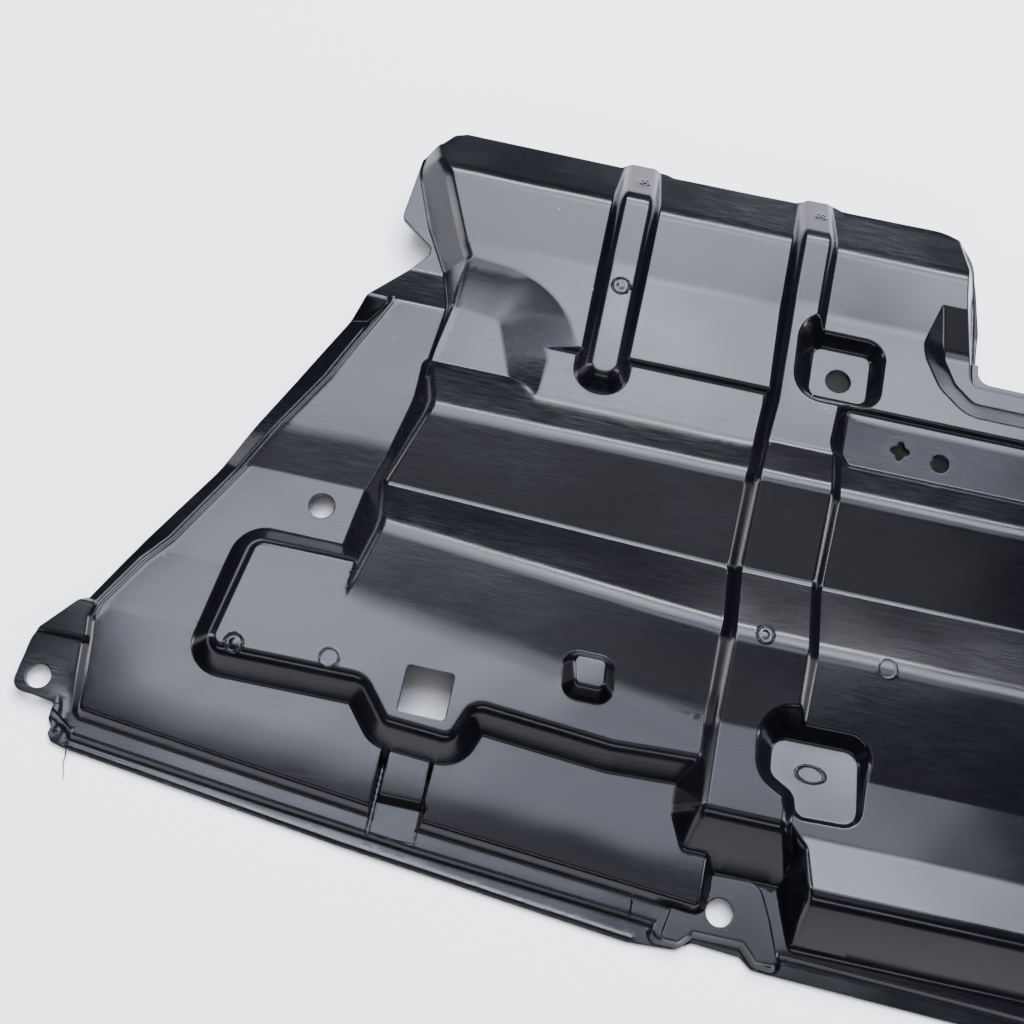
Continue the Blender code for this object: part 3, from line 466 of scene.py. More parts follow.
def block_forms():
    """The raised blocks of deck, waves and plateau, outboard of the channel and between the two channels."""
    rear = REAR_EDGE + BEYOND
    deck = folded(DECK_FOLDS[::-1])
    waves = folded((WAVE_FOLDS + [
        (PLATEAU_FOLD_OUT, PLATEAU_Z, 0, FAN_PLATEAU),
        (PLATEAU_FOLD_OUT - RAMP_RUN, PLATEAU_Z - RAMP_DROP, 0, FAN_PLATEAU)])[::-1])
    middle = folded((DECK_FOLDS[:-1] + WAVE_FOLDS + [
        (PLATEAU_FOLD_MID, PLATEAU_Z, 0, 0), (BROW_FOLD, PLATEAU_Z, 2, 0), (BROW, BROW_Z, BROW_SOFT, 0),
        (BROW_FOOT, FLANGE_Z, 0, 0), (0.0, FLANGE_Z - BROW_FOOT * BROW_FALL, 0, 0)])[::-1])
    return [
        Form("outer deck", rounded([(356, 205), (358, 227), (350, 284), (349, 308), (374, 362), (374, rear),
                                    (172, rear), (172, 205)], 3), deck, at=block_edge_height),
        Form("scoop", rounded([(366, 284), (327, 280, 6), (312, 239), (312, 215), (366, 215)], 1),
             level(SCOOP_Z), draft=SCOOP_DRAFT, sunk=True, lean=scoop_lean),
        Form("outer waves", rounded([(373, 95), (365.6, 164), (358, 227), (357, 250), (172, 250),
                                     (172, 95)], 3), waves, at=block_edge_height, creased=True),
        Form("plateau", rounded([(415, 139, 6), (423, 84, 6), (349, 84.8, 10), (335, 68, 6), (304, 66, 6),
                                 (297.5, 84, 8), (256, 80.8), (232, 79), (180, 81.5), (180, 132), (360, 132),
                                 (360, 139)], 2), level(PLATEAU_Z), creased=True),
        Form("middle block", rounded([(172, 72), (172, rear), (104, rear), (92, 345), (88, 311),
                                      (-BEYOND, 311), (-BEYOND, -5), (137, -5), (136, 31), (140, 52),
                                      (150, 62)], 4), middle, draft=0.3, soft=2.0, creased=True)]


forms += block_forms()
print("Blocks:", [form.name for form in forms[-5:]])

# %% [markdown]
# The channel crosses every fold of the blocks at the same rise over them, so it has the folds of its own
# that the sheet below has. It widens in front of the bolt pad and ends in a slope down to the front tab.

# %% Channel, plate and rib
PAD_HOLE, PAD_SIZE, PAD_DEPTH = (153.0, 286.0), (30.0, 28.0), 7.5


def channel_forms():
    """The channel that runs fore and aft, the tab's plate before it, and the short rib outboard of it."""
    rear = REAR_EDGE + BEYOND
    pad_front = PAD_HOLE[1] + 3 - PAD_SIZE[1] / 2
    inner, outer = CHANNEL_OUT - CHANNEL_WIDTH / 2, CHANNEL_OUT + CHANNEL_WIDTH / 2
    rear_in, rear_out = CHANNEL_REAR_OUT - CHANNEL_REAR_WIDTH / 2, CHANNEL_REAR_OUT + CHANNEL_REAR_WIDTH / 2
    spine = folded([
        (REAR_EDGE, RIM_Z + RIB_TAIL, 0, 0), (REAR_SHOULDER, SHOULDER_Z + CHANNEL_RISE, FOLD_SOFT, 0),
        (DECK_FOLD, DECK_FOLD_Z + CHANNEL_RISE, 3, 0), (SHELF_FRONT, SHELF_Z + CHANNEL_RISE, 2, 0),
        (CREST_CD - SPINE_LEAD, CREST_DE_Z + CHANNEL_RISE, 4, 0),
        (VALLEY_DE - SPINE_LEAD, VALLEY_Z + CHANNEL_RISE, 2, 0),
        (CREST_EF - SPINE_LEAD, CREST_EF_Z + CHANNEL_RISE, FOLD_SOFT, 0),
        (PLATEAU_FOLD_OUT, PLATEAU_Z + CHANNEL_RISE, 2, 0),
        (CHANNEL_FRONT, PLATEAU_Z + CHANNEL_RISE - SPINE_SINK, 3, 0), (CHANNEL_TOE, FLANGE_Z, 0, 0),
        (CHANNEL_TOE - BROW_FOOT, FLANGE_Z - BROW_FOOT * BROW_FALL, 0, 0)][::-1])
    rib = folded([
        (REAR_EDGE, RIM_Z + RIB_TAIL, 0, 0), (REAR_SHOULDER, SHOULDER_Z + RIB_RISE, FOLD_SOFT, 0),
        (DECK_FOLD, DECK_FOLD_Z + RIB_RISE, 3, 0),
        (RIB_END - RIB_WIDTH, DECK_Z + RIB_RISE - RIB_SINK, 0, 0)][::-1])
    return [
        Form("channel", rounded([(rear_out, rear), (rear_out, CHANNEL_WIDEN), (outer, CREST_CD),
                                 (outer, CHANNEL_FRONT), (outer + 5, CHANNEL_TOE), (outer + 5, 25),
                                 (inner - 14, 25), (inner - 12, CHANNEL_TOE), (inner, CHANNEL_FRONT),
                                 (inner, pad_front + 1), (rear_in, pad_front + 9), (rear_in, rear)], 3),
             spine, draft=CHANNEL_DRAFT, soft=2.4, creased=True),
        Form("front plate", rounded([(194, 3), (189.7, 24), (187.5, 34.5, 5), (153.5, 35.5, 7), (147, 21),
                                     (140.5, 2), (150, 2), (157, 9), (180, 9), (186, 3)], 2),
             level(FLANGE_Z + PLATE_RISE), draft=0.4, soft=0.3, foot=0.25),
        Form("rib", rounded([(RIB_OUT + RIB_WIDTH / 2, rear), (RIB_OUT + RIB_WIDTH / 2, RIB_END, 7),
                             (RIB_OUT - RIB_WIDTH / 2, RIB_END, 7), (RIB_OUT - RIB_WIDTH / 2, rear)], 1),
             rib, draft=0.6, soft=2.4)]


forms += channel_forms()
print("Along the shield:", [form.name for form in forms[-3:]])

# %% [markdown]
# Last come the boss and the pockets. A pocket is a form turned over: its floor is sunk, and its wall rises
# from the outline instead of falling from it. The notch at the rear has a low flange with a lip.

# %% Boss and pockets
OVAL_POCKET_Z, DRAIN_SHELF_Z = 22.0, 28.0


def small_forms():
    """The box boss and the pockets. The boss and the oval pocket are on the left half only."""
    notch_flange = folded([(0.0, NOTCH_FLANGE_Z, 0, 0), (NOTCH_LEVEL_TO, NOTCH_FLANGE_Z, 4, 0),
                           (NOTCH_TOP, NOTCH_TOP_Z, 0, 0)])
    drain_shelf = folded([(0.0, DRAIN_SHELF_Z - 36, 0, 0), (241.0, DRAIN_SHELF_Z - 0.8, 0, 0),
                          (268.0, DRAIN_SHELF_Z + 3.2, 0, 0)])
    oval_floor = folded([(0.0, PLATEAU_Z + 5.2, 0, 0), (66.0, PLATEAU_Z - 1.8, 0, 0),
                         (100.0, OVAL_POCKET_Z + 0.6, 0, 0)])
    pad_in, pad_out = PAD_HOLE[0] - PAD_SIZE[0] / 2, PAD_HOLE[0] + PAD_SIZE[0] / 2
    pad_front, pad_back = PAD_HOLE[1] + 3 - PAD_SIZE[1] / 2, PAD_HOLE[1] + 3 + PAD_SIZE[1] / 2
    return [
        Form("box boss", rounded([(257.5, 114), (242, 114), (241, 100.5), (254.5, 100.5)], 3),
             level(PLATEAU_Z + BOSS_RISE), draft=0.5, soft=1.1, foot=0.6, both=False),
        Form("bolt pad pocket", rounded([(pad_out, pad_front), (pad_out, pad_back), (pad_in, pad_back),
                                         (pad_in, pad_front)], 5), level(DECK_Z - PAD_DEPTH), sunk=True),
        Form("drain shelf", rounded([(147, 268), (147, 246.5), (143, 241), (-BEYOND, 241),
                                     (-BEYOND, 268)], 3), drain_shelf, sunk=True),
        Form("notch flange", rounded([(107, NOTCH_TOP), (100.3, 309.4), (94.2, 297.9, 8), (84.4, 289.7, 8),
                                      (-BEYOND, 289.3), (-BEYOND, NOTCH_TOP)], 1), notch_flange,
             draft=NOTCH_DRAFT, sunk=True, foot=0.8),
        Form("notch lip", rounded([(-BEYOND, 301.5), (84, 301.5, 8), (85, 308), (87.5, 346), (88, 372),
                                   (-BEYOND, 372)], 3), level(NOTCH_FLANGE_Z - LIP_DROP),
             draft=LIP_DRAFT, sunk=True, foot=0.7, soft=0.6),
        Form("oval pocket", rounded([(160.5, 100), (120, 100.5), (118, 66), (146.5, 65), (148, 75),
                                     (160, 82)], 7), oval_floor, sunk=True, both=False)]


forms += small_forms()
mirrored = sum(form.both for form in forms)
print(len(forms), "forms on the left half,", mirrored, "of them on the right half too")

# %% [markdown]
# ## Mould marks
# The pins that pushed the moulding out of its mould left round marks: a fine raised ring with a shallow
# dome inside. Each is a turned profile, a height that depends only on the distance from its middle, and it
# is added to the relief so that it belongs to the sheet and isn't a disc laid on it.

# %% Marks of the ejector pins
MARKS = [  # out, back, radius, ring height, dome height
    (270.5, 305.0, 4.3, 0.55, 0.5), (269.0, 371.0, 2.6, 0.35, 0.5), (175.4, 374.1, 2.6, 0.35, 0.5),
    (410.2, 87.9, 4.2, 0.5, 0.35), (366.2, 90.6, 4.4, 0.22, 0.0), (173.8, 140.5, 4.0, 0.5, 0.4),
    (114.6, 139.2, 4.4, 0.22, 0.0)]
RING_WIDTH, DOME_SHARE, MARK_REACH = 0.75, 0.6, 8.0
OVAL_MARK = (141.3, 86.0, 6.6, 3.9, 0.45)  # out, back, half length, half width, ring height
OVAL_REACH = (12.0, 9.0)


def mark_height(r, radius, ring, dome):
    """A ring, as a bell curve about the radius, and a dome that falls off as 1 - (r / dome radius)^2."""
    return (ring * np.exp(-((r - radius) / (RING_WIDTH / 2)) ** 2)
            + dome * np.maximum(1 - (r / (DOME_SHARE * radius)) ** 2, 0))


def marks(u, v):
    """Height that all the marks add at each place."""
    z = np.zeros(np.shape(u))
    for out, back, radius, ring, dome in MARKS:
        near = (np.abs(u - out) < MARK_REACH) & (np.abs(v - back) < MARK_REACH)
        z[near] += mark_height(np.hypot(u[near] - out, v[near] - back), radius, ring, dome)
    out, back, half_long, half_short, ring = OVAL_MARK
    near = (np.abs(u - out) < OVAL_REACH[0]) & (np.abs(v - back) < OVAL_REACH[1])
    stretched = np.hypot((u[near] - out) / half_long, (v[near] - back) / half_short) * half_short
    z[near] += mark_height(stretched, half_short, ring, 0)
    return z


ring_top = float(marks(np.array([MARKS[0][0] + MARKS[0][2]]), np.array([MARKS[0][1]]))[0])
print(len(MARKS), "round marks; the ring of the first stands", round(ring_top, 2), "mm proud")

# %% [markdown]
# Where two halves of a mould meet, and where a blade has trimmed the edge, a fine bead is left. The corner
# below the side tab was torn, and its plastic was drawn out in fibres. A sheet of this size is also never
# quite level, and slow waves of less than a third of a millimetre give its reflections their unevenness.

# %% Beads, tear and warp
BEADS = [  # points along the bead, half width, height
    (RIDGE, 1.35, 0.75),
    ([(349.5, 306), (350.5, 284), (356.5, 240)], 1.2, 0.45),
    ([(206, 0.9), (343, 14.5), (476, 30.6)], 0.8, 0.5)]
BEAD_REACH = 5.0
TORN_AT, TORN_WIDE, TORN_DEEP, TORN_RISE = (483.5, 41.0), 5.5, 15.0, 0.09
FIBRES, FIBRE_SWAY, FIBRE_BEND = 1.5, 1.4, 0.33


def beads(u, v):
    """Fine raised beads: height * exp(-(distance / half width)^2) about each line."""
    z = np.zeros(np.shape(u))
    for points, half_width, height in BEADS:
        there_and_back = np.array(points + points[-2:0:-1], float)
        (low_u, low_v), (high_u, high_v) = there_and_back.min(axis=0), there_and_back.max(axis=0)
        near = ((u > low_u - BEAD_REACH) & (u < high_u + BEAD_REACH)
                & (v > low_v - BEAD_REACH) & (v < high_v + BEAD_REACH))
        away = np.abs(outside_distance(there_and_back, u[near], v[near]))
        z[near] += height * np.exp(-(away / half_width) ** 2)
    return z


def torn(u, v):
    """Fibres drawn out where the corner was torn: a sine across it that sways, faded at its borders."""
    within = (np.clip(1 - ((u - TORN_AT[0]) / TORN_WIDE) ** 2, 0, 1)
              * np.clip(1 - ((v - TORN_AT[1]) / TORN_DEEP) ** 2, 0, 1))
    return TORN_RISE * within * np.sin(FIBRES * u + FIBRE_SWAY * np.sin(FIBRE_BEND * v))


def warp(x, y):
    """Slow waves of a large thin moulding: four crossing sines, a quarter of a millimetre at most."""
    return (0.10 * np.sin(x / 31 + 0.6 * np.sin(y / 43)) * np.cos(y / 37 + 1.1)
            + 0.07 * np.sin(x / 17 - y / 23 + 2.0) + 0.05 * np.sin(x / 11 + y / 13)
            + 0.03 * np.cos(x / 7.3 - y / 9.1 + 0.4))


across = np.linspace(-500, 500, 2001)
print("Along the deck the warp is at most", round(float(np.abs(warp(across, 290.0)).max()), 2), "mm")


# %% The whole relief
def half_height(stack, u, v):
    """Height of one half: the ground, with each form of the stack laid over what is there so far."""
    z = ground(u, v)
    for form in stack:
        z = form.joined(z, u, v)
    return z


stacks = {-1: forms, 1: [form for form in forms if form.both]}


def relief(x, y):
    """Height of the upper surface in plan millimetres, x across and y back from the front line."""
    z = np.empty(x.shape)
    for side, stack in stacks.items():
        here = x >= 0 if side > 0 else x < 0
        u, v = np.abs(x[here]), y[here]
        z[here] = half_height(stack, u, v) + marks(u, v) + beads(u, v)
        if side < 0:
            z[here] += torn(u, v)
    return z + warp(x, y)


probe = relief(np.array([-391.0, -488.0, -153.0]), np.array([157.5, 58.0, 276.0]))
print("Heights at the wing, side tab and bolt pads, mm:", np.round(probe, 2).tolist())

# %% [markdown]
# ## Where the points go
# A plain grid fine enough for a fillet of 1 mm would need some ten times the triangles that a piece may
# have. So the points lie where the form turns: in rows along every shoulder, foot and fold, and on a
# coarser grid between them. A row is a profile carried along an outline. For each point of the outline the
# distance outward at which the wall reaches a given height is found by halving, for all points at once.

# %% Walking an outline
SAMPLE = 3.0
SEARCH = np.arange(-30.0, 46.0, 2.0)
HALVINGS = 8


def walked(outline, step):
    """Points at even steps round a closed outline, and the outward direction at each."""
    run = np.roll(outline, -1, axis=0) - outline
    length = np.hypot(*run.T)
    outline, run, length = outline[length > 1e-6], run[length > 1e-6], length[length > 1e-6]
    count = np.maximum(1, (length / step).astype(int))
    side = np.repeat(np.arange(len(count)), count)
    part = (np.arange(len(side)) - np.repeat(np.cumsum(count) - count, count)) / count[side]
    normal = np.stack([run[:, 1], -run[:, 0]], 1) / length[:, None]
    out = normal[side]
    first = part == 0
    corner = normal + np.roll(normal, 1, axis=0)
    out[first] = (corner / np.hypot(*corner.T)[:, None])[side[first]]
    return outline[side] + run[side] * part[:, None], out


def crossing(value, table, start, share):
    """The first distance beyond start at which the value rises through the share, or nan.

    The table holds the value at each distance of SEARCH. The stretch found in it is halved again and again.
    """
    rises = (table[:, :-1] <= share) & (table[:, 1:] > share) & (SEARCH[None, 1:] > start[:, None])
    low = SEARCH[np.argmax(rises, axis=1)]
    high = low + (SEARCH[1] - SEARCH[0])
    for _ in range(HALVINGS):
        middle = (low + high) / 2
        up = value(middle) > share
        low, high = np.where(up, low, middle), np.where(up, middle, high)
    return np.where(rises.any(axis=1), (low + high) / 2, np.nan)


print("The box boss is walked in", len(walked(forms[-6].outline, SAMPLE)[0]), "steps")

# %% [markdown]
# A shoulder gets five rows and a foot four. They lie closest where the parabola bends, so that few points
# give a round that looks round.

# %% Rows across an edge
ACROSS_SHOULDER = (-1, -0.5, 0, 0.5, 1)
ACROSS_FOOT = (-1, -0.35, 0.35, 1)


def edge_rows(form, below):
    """Rows across a form's shoulder, and across its foot where its wall meets the surface below."""
    start, out = walked(form.outline, SAMPLE)

    def places(s):
        return start + out * np.reshape(s, (-1, 1))

    def over(u, v):
        return form.sign * (form.face(u, v) - form.wall(u, v))

    def sinks(u, v):
        return form.sign * (below(u, v) - form.wall(u, v))

    def table(value):
        u, v = (start[:, None] + out[:, None] * SEARCH[None, :, None]).reshape(-1, 2).T
        return value(u, v).reshape(len(start), len(SEARCH))

    rows = []
    across = table(over)
    for share in ACROSS_SHOULDER:
        edge = crossing(lambda s: over(*places(s).T), across, np.full(len(start), SEARCH[0]),
                        share * form.shoulder)
        rows.append((places(edge), edge))
    down = table(sinks)
    begin = np.where(np.isnan(edge), 0, edge) - 2.5
    for share in ACROSS_FOOT:
        low = crossing(lambda s: sinks(*places(s).T), down, begin, share * form.foot)
        rows.append((places(low), low))
    return rows


pocket = edge_rows(forms[-5], lambda u, v: half_height(forms[:-5], u, v))
print("The bolt pad pocket has", len(pocket), "rows of", len(pocket[0][0]), "points")

# %% [markdown]
# Where one form covers another, the covered rows would only waste triangles. A row is kept where the height
# of its own form is still the height of the whole relief. On the right half every second point is left out,
# because the photograph's camera hardly sees it.

# %% Rows that show
HIDDEN = 0.3
WIDEST = 520.0


def row_pieces(points, kept):
    """A row cut into the stretches that are kept, each as an array."""
    cuts = np.flatnonzero(np.diff(kept.astype(int))) + 1
    parts = np.split(np.arange(len(points)), cuts)
    return [points[part] for part in parts if kept[part[0]] and len(part) > 1]


def visible(row, found, stack, index):
    """The stretches of a closed row that show: where nothing laid later covers the form they belong to."""
    row, found = np.vstack([row, row[:1]]), np.append(found, found[:1])
    good = ~np.isnan(found)
    row = np.where(good[:, None], row, 0)
    u, v = row.T
    z = ground(u, v)
    for form in stack[:index + 1]:
        z = form.joined(z, u, v)
    own = z
    for form in stack[index + 1:]:
        z = form.joined(z, u, v)
    return row_pieces(row, good & (np.abs(z - own) < HIDDEN) & (u >= 0))


def eased(row, side):
    """A row of the left half as it is, or one of the right half with every second point left out."""
    return row * (side, 1) if side < 0 else np.concatenate([row[:-1:2], row[-1:]]) * (side, 1)


def relief_rows():
    """Every row of both halves, in plan with x across."""
    lines = []
    for index, form in enumerate(forms):
        lower = forms[:index]
        rows = edge_rows(form, lambda u, v: half_height(lower, u, v))
        for side, stack in stacks.items():
            if form in stack:
                place = stack.index(form)
                for row, found in rows:
                    lines += [eased(piece, side) for piece in visible(row, found, stack, place)]
    return lines


def fold_rows():
    """Rows along each cross fold, on both sides of its parabola, over the width where its surface shows."""
    lines = []
    for index, form in enumerate(forms):
        for back, _, soft, fan in getattr(form.face, "folds", [])[1:-1]:
            soft = max(soft, CREASE_SOFT)
            outs = np.arange(0, WIDEST, SAMPLE)
            for share in ACROSS_FOOT:
                row = np.stack([outs, back + fan * np.maximum(outs - FAN_FROM, 0) + share * soft], 1)
                for side, stack in stacks.items():
                    if form in stack:
                        u, v = row.T
                        shown = np.abs(half_height(stack, u, v) - form.face(u, v)) < HIDDEN
                        lines += [eased(piece, side) for piece in row_pieces(row, shown)]
    return lines


rows = relief_rows() + fold_rows()
print(len(rows), "rows with", sum(len(row) for row in rows), "points")

# %% [markdown]
# ## The sheet's edge and its holes
# The edge is one outline for both halves. The holes are cut after moulding, and one of them was torn rather
# than drilled, so its edge is a star. A second line runs just inside each cut edge: the strip between the two
# carries the small round that a trimmed edge has.

# %% The sheet's edge
FRONT = [(0, -5), (57, -4.8), (139, -2), (151, -1.5), (157, 3, 2), (179, 4.5, 3), (186, 0, 2), (208, -1.2),
         (343, 12.5), (477.7, 28.8, 3)]
CORNER = [(485, 30.7, 2), (488.6, 39, 2), (487.5, 47.5)]
TORN_CORNER = [(484.2, 30.4, 1), (486.8, 33.8, 1), (486.2, 37.2, 1), (488.8, 40.6, 1), (487.4, 44.0, 1),
               (487.0, 47.5)]
REST = [(497.5, 49), (509, 50, 7), (507, 77, 10), (491, 96.8), (487, 100), (470.8, 134.5), (448, 174.5),
        (420, 230), (395.6, 280.4), (371.3, 314.5, 2), (371.3, 319, 2), (390, 333, 4), (386.5, 367, 3),
        (377.5, 374.5, 2), (373, 384, 4), (366.7, 387.5, 4), (282.3, REAR_EDGE - 1), (277, REAR_EDGE + 1),
        (258, REAR_EDGE + 1), (254, REAR_EDGE - 1), (184, REAR_EDGE), (181, REAR_EDGE + 2),
        (166.5, REAR_EDGE + 2), (163, REAR_EDGE), (93, REAR_EDGE + 1, 24), (82, 335, 10), (81.5, 304.5, 7),
        (0, 304)]
RIM_CORNER = 1.5


def sheet_edge():
    """The closed edge of the sheet: the left half with its torn corner, and the right half."""
    left = [(-c[0],) + tuple(c[1:]) for c in FRONT + TORN_CORNER + REST]
    right = FRONT[1:] + CORNER + REST[:-1]
    return rounded(left + right[::-1], RIM_CORNER)


print("The edge has", len(sheet_edge()), "points with its round corners")

# %% Holes
BOLT_HOLE, DRAIN_HOLE, SQUARE_HOLE = 12.5, 9.0, 22.0
WING_HOLE, TAB_HOLE, FRONT_TAB_HOLE = (391.0, 167.5), (498.0, 58.0), (169.5, 19.5)
DRAIN_PLACE, STAR_PLACE, SQUARE_PLACE = (98.0, 251.5), (118.5, 253.5), (319.5, 84.0)
STAR_HOLE, STAR_LOBES, STAR_DEPTH = 8.0, 4, 0.22
SQUARE_CORNER = 1.8
HOLE_SIDES = 40


def round_hole(place, diameter, lobes=0, depth=0.0):
    """A circle, or a star whose radius waves as 1 + depth * cos(lobes * angle)."""
    t = np.arange(HOLE_SIDES) * 2 * math.pi / HOLE_SIDES
    r = diameter / 2 * (1 + depth * np.cos(lobes * t))
    return np.stack([place[0] + r * np.cos(t), place[1] + r * np.sin(t)], 1)


def hole_edges():
    """Edges of all the through holes, those of the right half as mirror images."""
    w = SQUARE_HOLE / 2
    u, v = SQUARE_PLACE
    square = rounded([(u - w, v - w), (u + w, v - w), (u + w, v + w), (u - w, v + w)], SQUARE_CORNER)
    half = [round_hole(WING_HOLE, BOLT_HOLE), round_hole(TAB_HOLE, BOLT_HOLE - 1),
            round_hole(FRONT_TAB_HOLE, BOLT_HOLE), round_hole(PAD_HOLE, BOLT_HOLE),
            round_hole(DRAIN_PLACE, DRAIN_HOLE), square]
    star = round_hole(STAR_PLACE, STAR_HOLE, STAR_LOBES, STAR_DEPTH)
    return [edge * (-1, 1) for edge in half + [star]] + half


def finely(outline):
    """A closed outline with a point at least every SAMPLE millimetres."""
    return walked(outline, SAMPLE)[0]


def inside_line(outline, gap):
    """A line at a gap inside an anticlockwise outline, at the same points."""
    after = np.roll(outline, -1, axis=0) - outline
    before = np.roll(after, 1, axis=0)
    normal = sum(np.stack([-run[:, 1], run[:, 0]], 1) / np.hypot(*run.T)[:, None] for run in (before, after))
    return outline + gap * normal / np.hypot(*normal.T)[:, None]


rim = finely(sheet_edge())
cuts = hole_edges()
print("The sheet is", np.round(np.ptp(rim, axis=0), 1).tolist(), "mm in plan, with", len(cuts), "holes")

# %% [markdown]
# ## The net
# A constrained Delaunay net joins all the points and keeps every row as an edge. Grid points that would
# crowd a row are left out first.

# %% Grid points
GRID = 5.5
UNDER_GRID = 9.0
TRIM = 0.6
ROW_RISE = 0.87
CROWDED = 2.2
CELL_STRIDE = 100003
MARK_SHARES = np.array([0.2, 0.45, 0.7, 0.86, 0.94, 1.0, 1.06, 1.14, 1.3])
MARK_SIDES = 20


def signed_area(outline):
    """Positive for an anticlockwise outline."""
    x, y = outline.T
    return np.sum(x * np.roll(y, -1) - y * np.roll(x, -1)) / 2


def cell_keys(points, shift):
    """One whole number for the cell of a square grid that each point lies in."""
    cell = np.floor(points / CROWDED + shift).astype(np.int64)
    return cell[:, 0] * CELL_STRIDE + cell[:, 1]


def grid_points(lines, spacing):
    """Points of a staggered grid over the sheet, without those in a cell that a line passes through."""
    low, high = rim.min(axis=0), rim.max(axis=0)
    x, y = np.meshgrid(np.arange(low[0], high[0], spacing),
                       np.arange(low[1], high[1], spacing * ROW_RISE))
    x = x + (np.arange(len(x))[:, None] % 2) * spacing / 2
    points = np.stack([x.ravel(), y.ravel()], 1)
    taken = np.concatenate(lines)
    for shift in ((0, 0), (0.5, 0), (0, 0.5), (0.5, 0.5)):
        points = points[~np.isin(cell_keys(points, shift), cell_keys(taken, shift))]
    return points[outside_distance(rim, *points.T) < -TRIM * 2]


def mark_points():
    """Rings of points on every ejector mark, so that its profile has something to bend."""
    t = np.arange(MARK_SIDES) * math.pi / (MARK_SIDES / 2)
    rings = [(out, back, radius, radius) for out, back, radius, _, _ in MARKS] + [OVAL_MARK[:4]]
    points = []
    for out, back, half_long, half_short in rings:
        for side in (-1, 1):
            x = side * out + half_long * MARK_SHARES[:, None] * np.cos(t)
            y = back + half_short * MARK_SHARES[:, None] * np.sin(t)
            points.append(np.stack([x.ravel(), y.ravel()], 1))
    return np.concatenate(points)


print("The grid has", len(grid_points([rim], GRID)), "points and the marks have", len(mark_points()))


# %% Lines and net
MERGED = 0.12


def clear_of_edges(line):
    """Whether each point of a line is clear of the trimmed strips along the rim and the holes."""
    free = outside_distance(rim, *line.T) < -TRIM
    for edge in cuts:
        free &= outside_distance(edge, *line.T) > TRIM
    return free


def chained(closed, lines):
    """The points of all the lines in one array, and the edges between neighbours on each."""
    count = np.array([len(line) for line in closed + lines])
    base = np.cumsum(count) - count
    edges = []
    for k, (first, length) in enumerate(zip(base, count)):
        ends = np.arange(length if k < len(closed) else length - 1)
        edges.append(np.stack([first + ends, first + (ends + 1) % length], 1))
    return np.concatenate(closed + lines), np.concatenate(edges)


def open_edges(triangles, count):
    """The directed edges that only one triangle has."""
    ends = np.concatenate([triangles[:, [0, 1]], triangles[:, [1, 2]], triangles[:, [2, 0]]])
    return ends[~np.isin(ends[:, 0] * count + ends[:, 1], ends[:, 1] * count + ends[:, 0])]


def net(points, edges, merged):
    """Plan points and anticlockwise triangles within the rim, every edge kept and the holes left open."""
    flat, _, found, _, _, _ = delaunay_2d_cdt(
        [Vector(p) for p in points.tolist()], edges.tolist(), [], 0, merged)
    flat = np.array([tuple(p) for p in flat])
    found = np.array([face for face in found if len(face) == 3])
    middle = flat[found].mean(axis=1)
    keep = outside_distance(rim, *middle.T) < 0
    for edge in cuts:
        keep &= outside_distance(edge, *middle.T) > 0
    used, found = np.unique(found[keep], return_inverse=True)
    found, flat = found.reshape(-1, 3), flat[used]
    a, b, c = flat[found].transpose(1, 0, 2)
    area = (b[:, 0] - a[:, 0]) * (c[:, 1] - a[:, 1]) - (b[:, 1] - a[:, 1]) * (c[:, 0] - a[:, 0])
    return flat, found if np.median(area) > 0 else found[:, ::-1]


print("The rim is a chain of", len(chained([rim], [])[1]), "edges")

# %% [markdown]
# The upper net comes first. The under net then starts from the upper net's own open edges, so that the two
# have the same points there and the wall between them closes without a gap.

# %% The two nets
cut_edges = [rim] + cuts
cut_edges += [inside_line(edge if signed_area(edge) * sign > 0 else edge[::-1], TRIM)
              for edge, sign in [(rim, 1)] + [(edge, -1) for edge in cuts]]
row_lines = [row[clear_of_edges(row)] for row in rows]
points, edges = chained(cut_edges, row_lines)
rings = mark_points()
points = np.concatenate([points, grid_points([points, rings], GRID), rings])
plan, faces = net(points, edges, MERGED)
ends = open_edges(faces, len(plan))
used, edges = np.unique(ends, return_inverse=True)
points = np.concatenate([plan[used], grid_points([plan[used]], UNDER_GRID)])
under_plan, under_faces = net(points, edges.reshape(-1, 2), 0.0)
print("First nets:", len(faces), "triangles above and", len(under_faces), "below")

# %% [markdown]
# ## The two surfaces as maps
# The underside is as far below the upper surface as the wall is thick, measured square to it. It is the
# lowest that a ball of that radius reaches as its middle moves over the upper surface. Both surfaces are
# worked out once as maps of heights, and each map gives the way that its surface faces.

# %% Maps of heights
CELL = 0.6
MAP_LOW = rim.min(axis=0) - 2 * WALL
MAP_COLUMNS, MAP_ROWS = np.ceil((np.ptp(rim, axis=0) + 4 * WALL) / CELL).astype(int) + 1


def upper_heights():
    """The relief at every place of the map."""
    x, y = np.meshgrid(MAP_LOW[0] + CELL * np.arange(MAP_COLUMNS), MAP_LOW[1] + CELL * np.arange(MAP_ROWS))
    return relief(x.ravel(), y.ravel()).reshape(MAP_ROWS, MAP_COLUMNS)


def lower_heights(heights):
    """Height of the underside: the least of height(at d) - sqrt(wall^2 - d^2) over all moves d."""
    least = heights - WALL
    reach = int(WALL / CELL)
    for i in range(-reach, reach + 1):
        for j in range(-reach, reach + 1):
            square = WALL ** 2 - (i * i + j * j) * CELL ** 2
            if square > 0:
                least = np.minimum(least, np.roll(heights, (i, j), (0, 1)) - math.sqrt(square))
    return np.maximum(least, LEDGE_Z - WALL)[:, :, None]


upper_map = upper_heights()[:, :, None]
lower_map = lower_heights(upper_map[:, :, 0])
highest = round(float(upper_map.max()), 1)
print("Maps of", MAP_COLUMNS, "by", MAP_ROWS, "places; the highest is", highest, "mm")


# %% Which way the surfaces face
NUDGE = 0.08


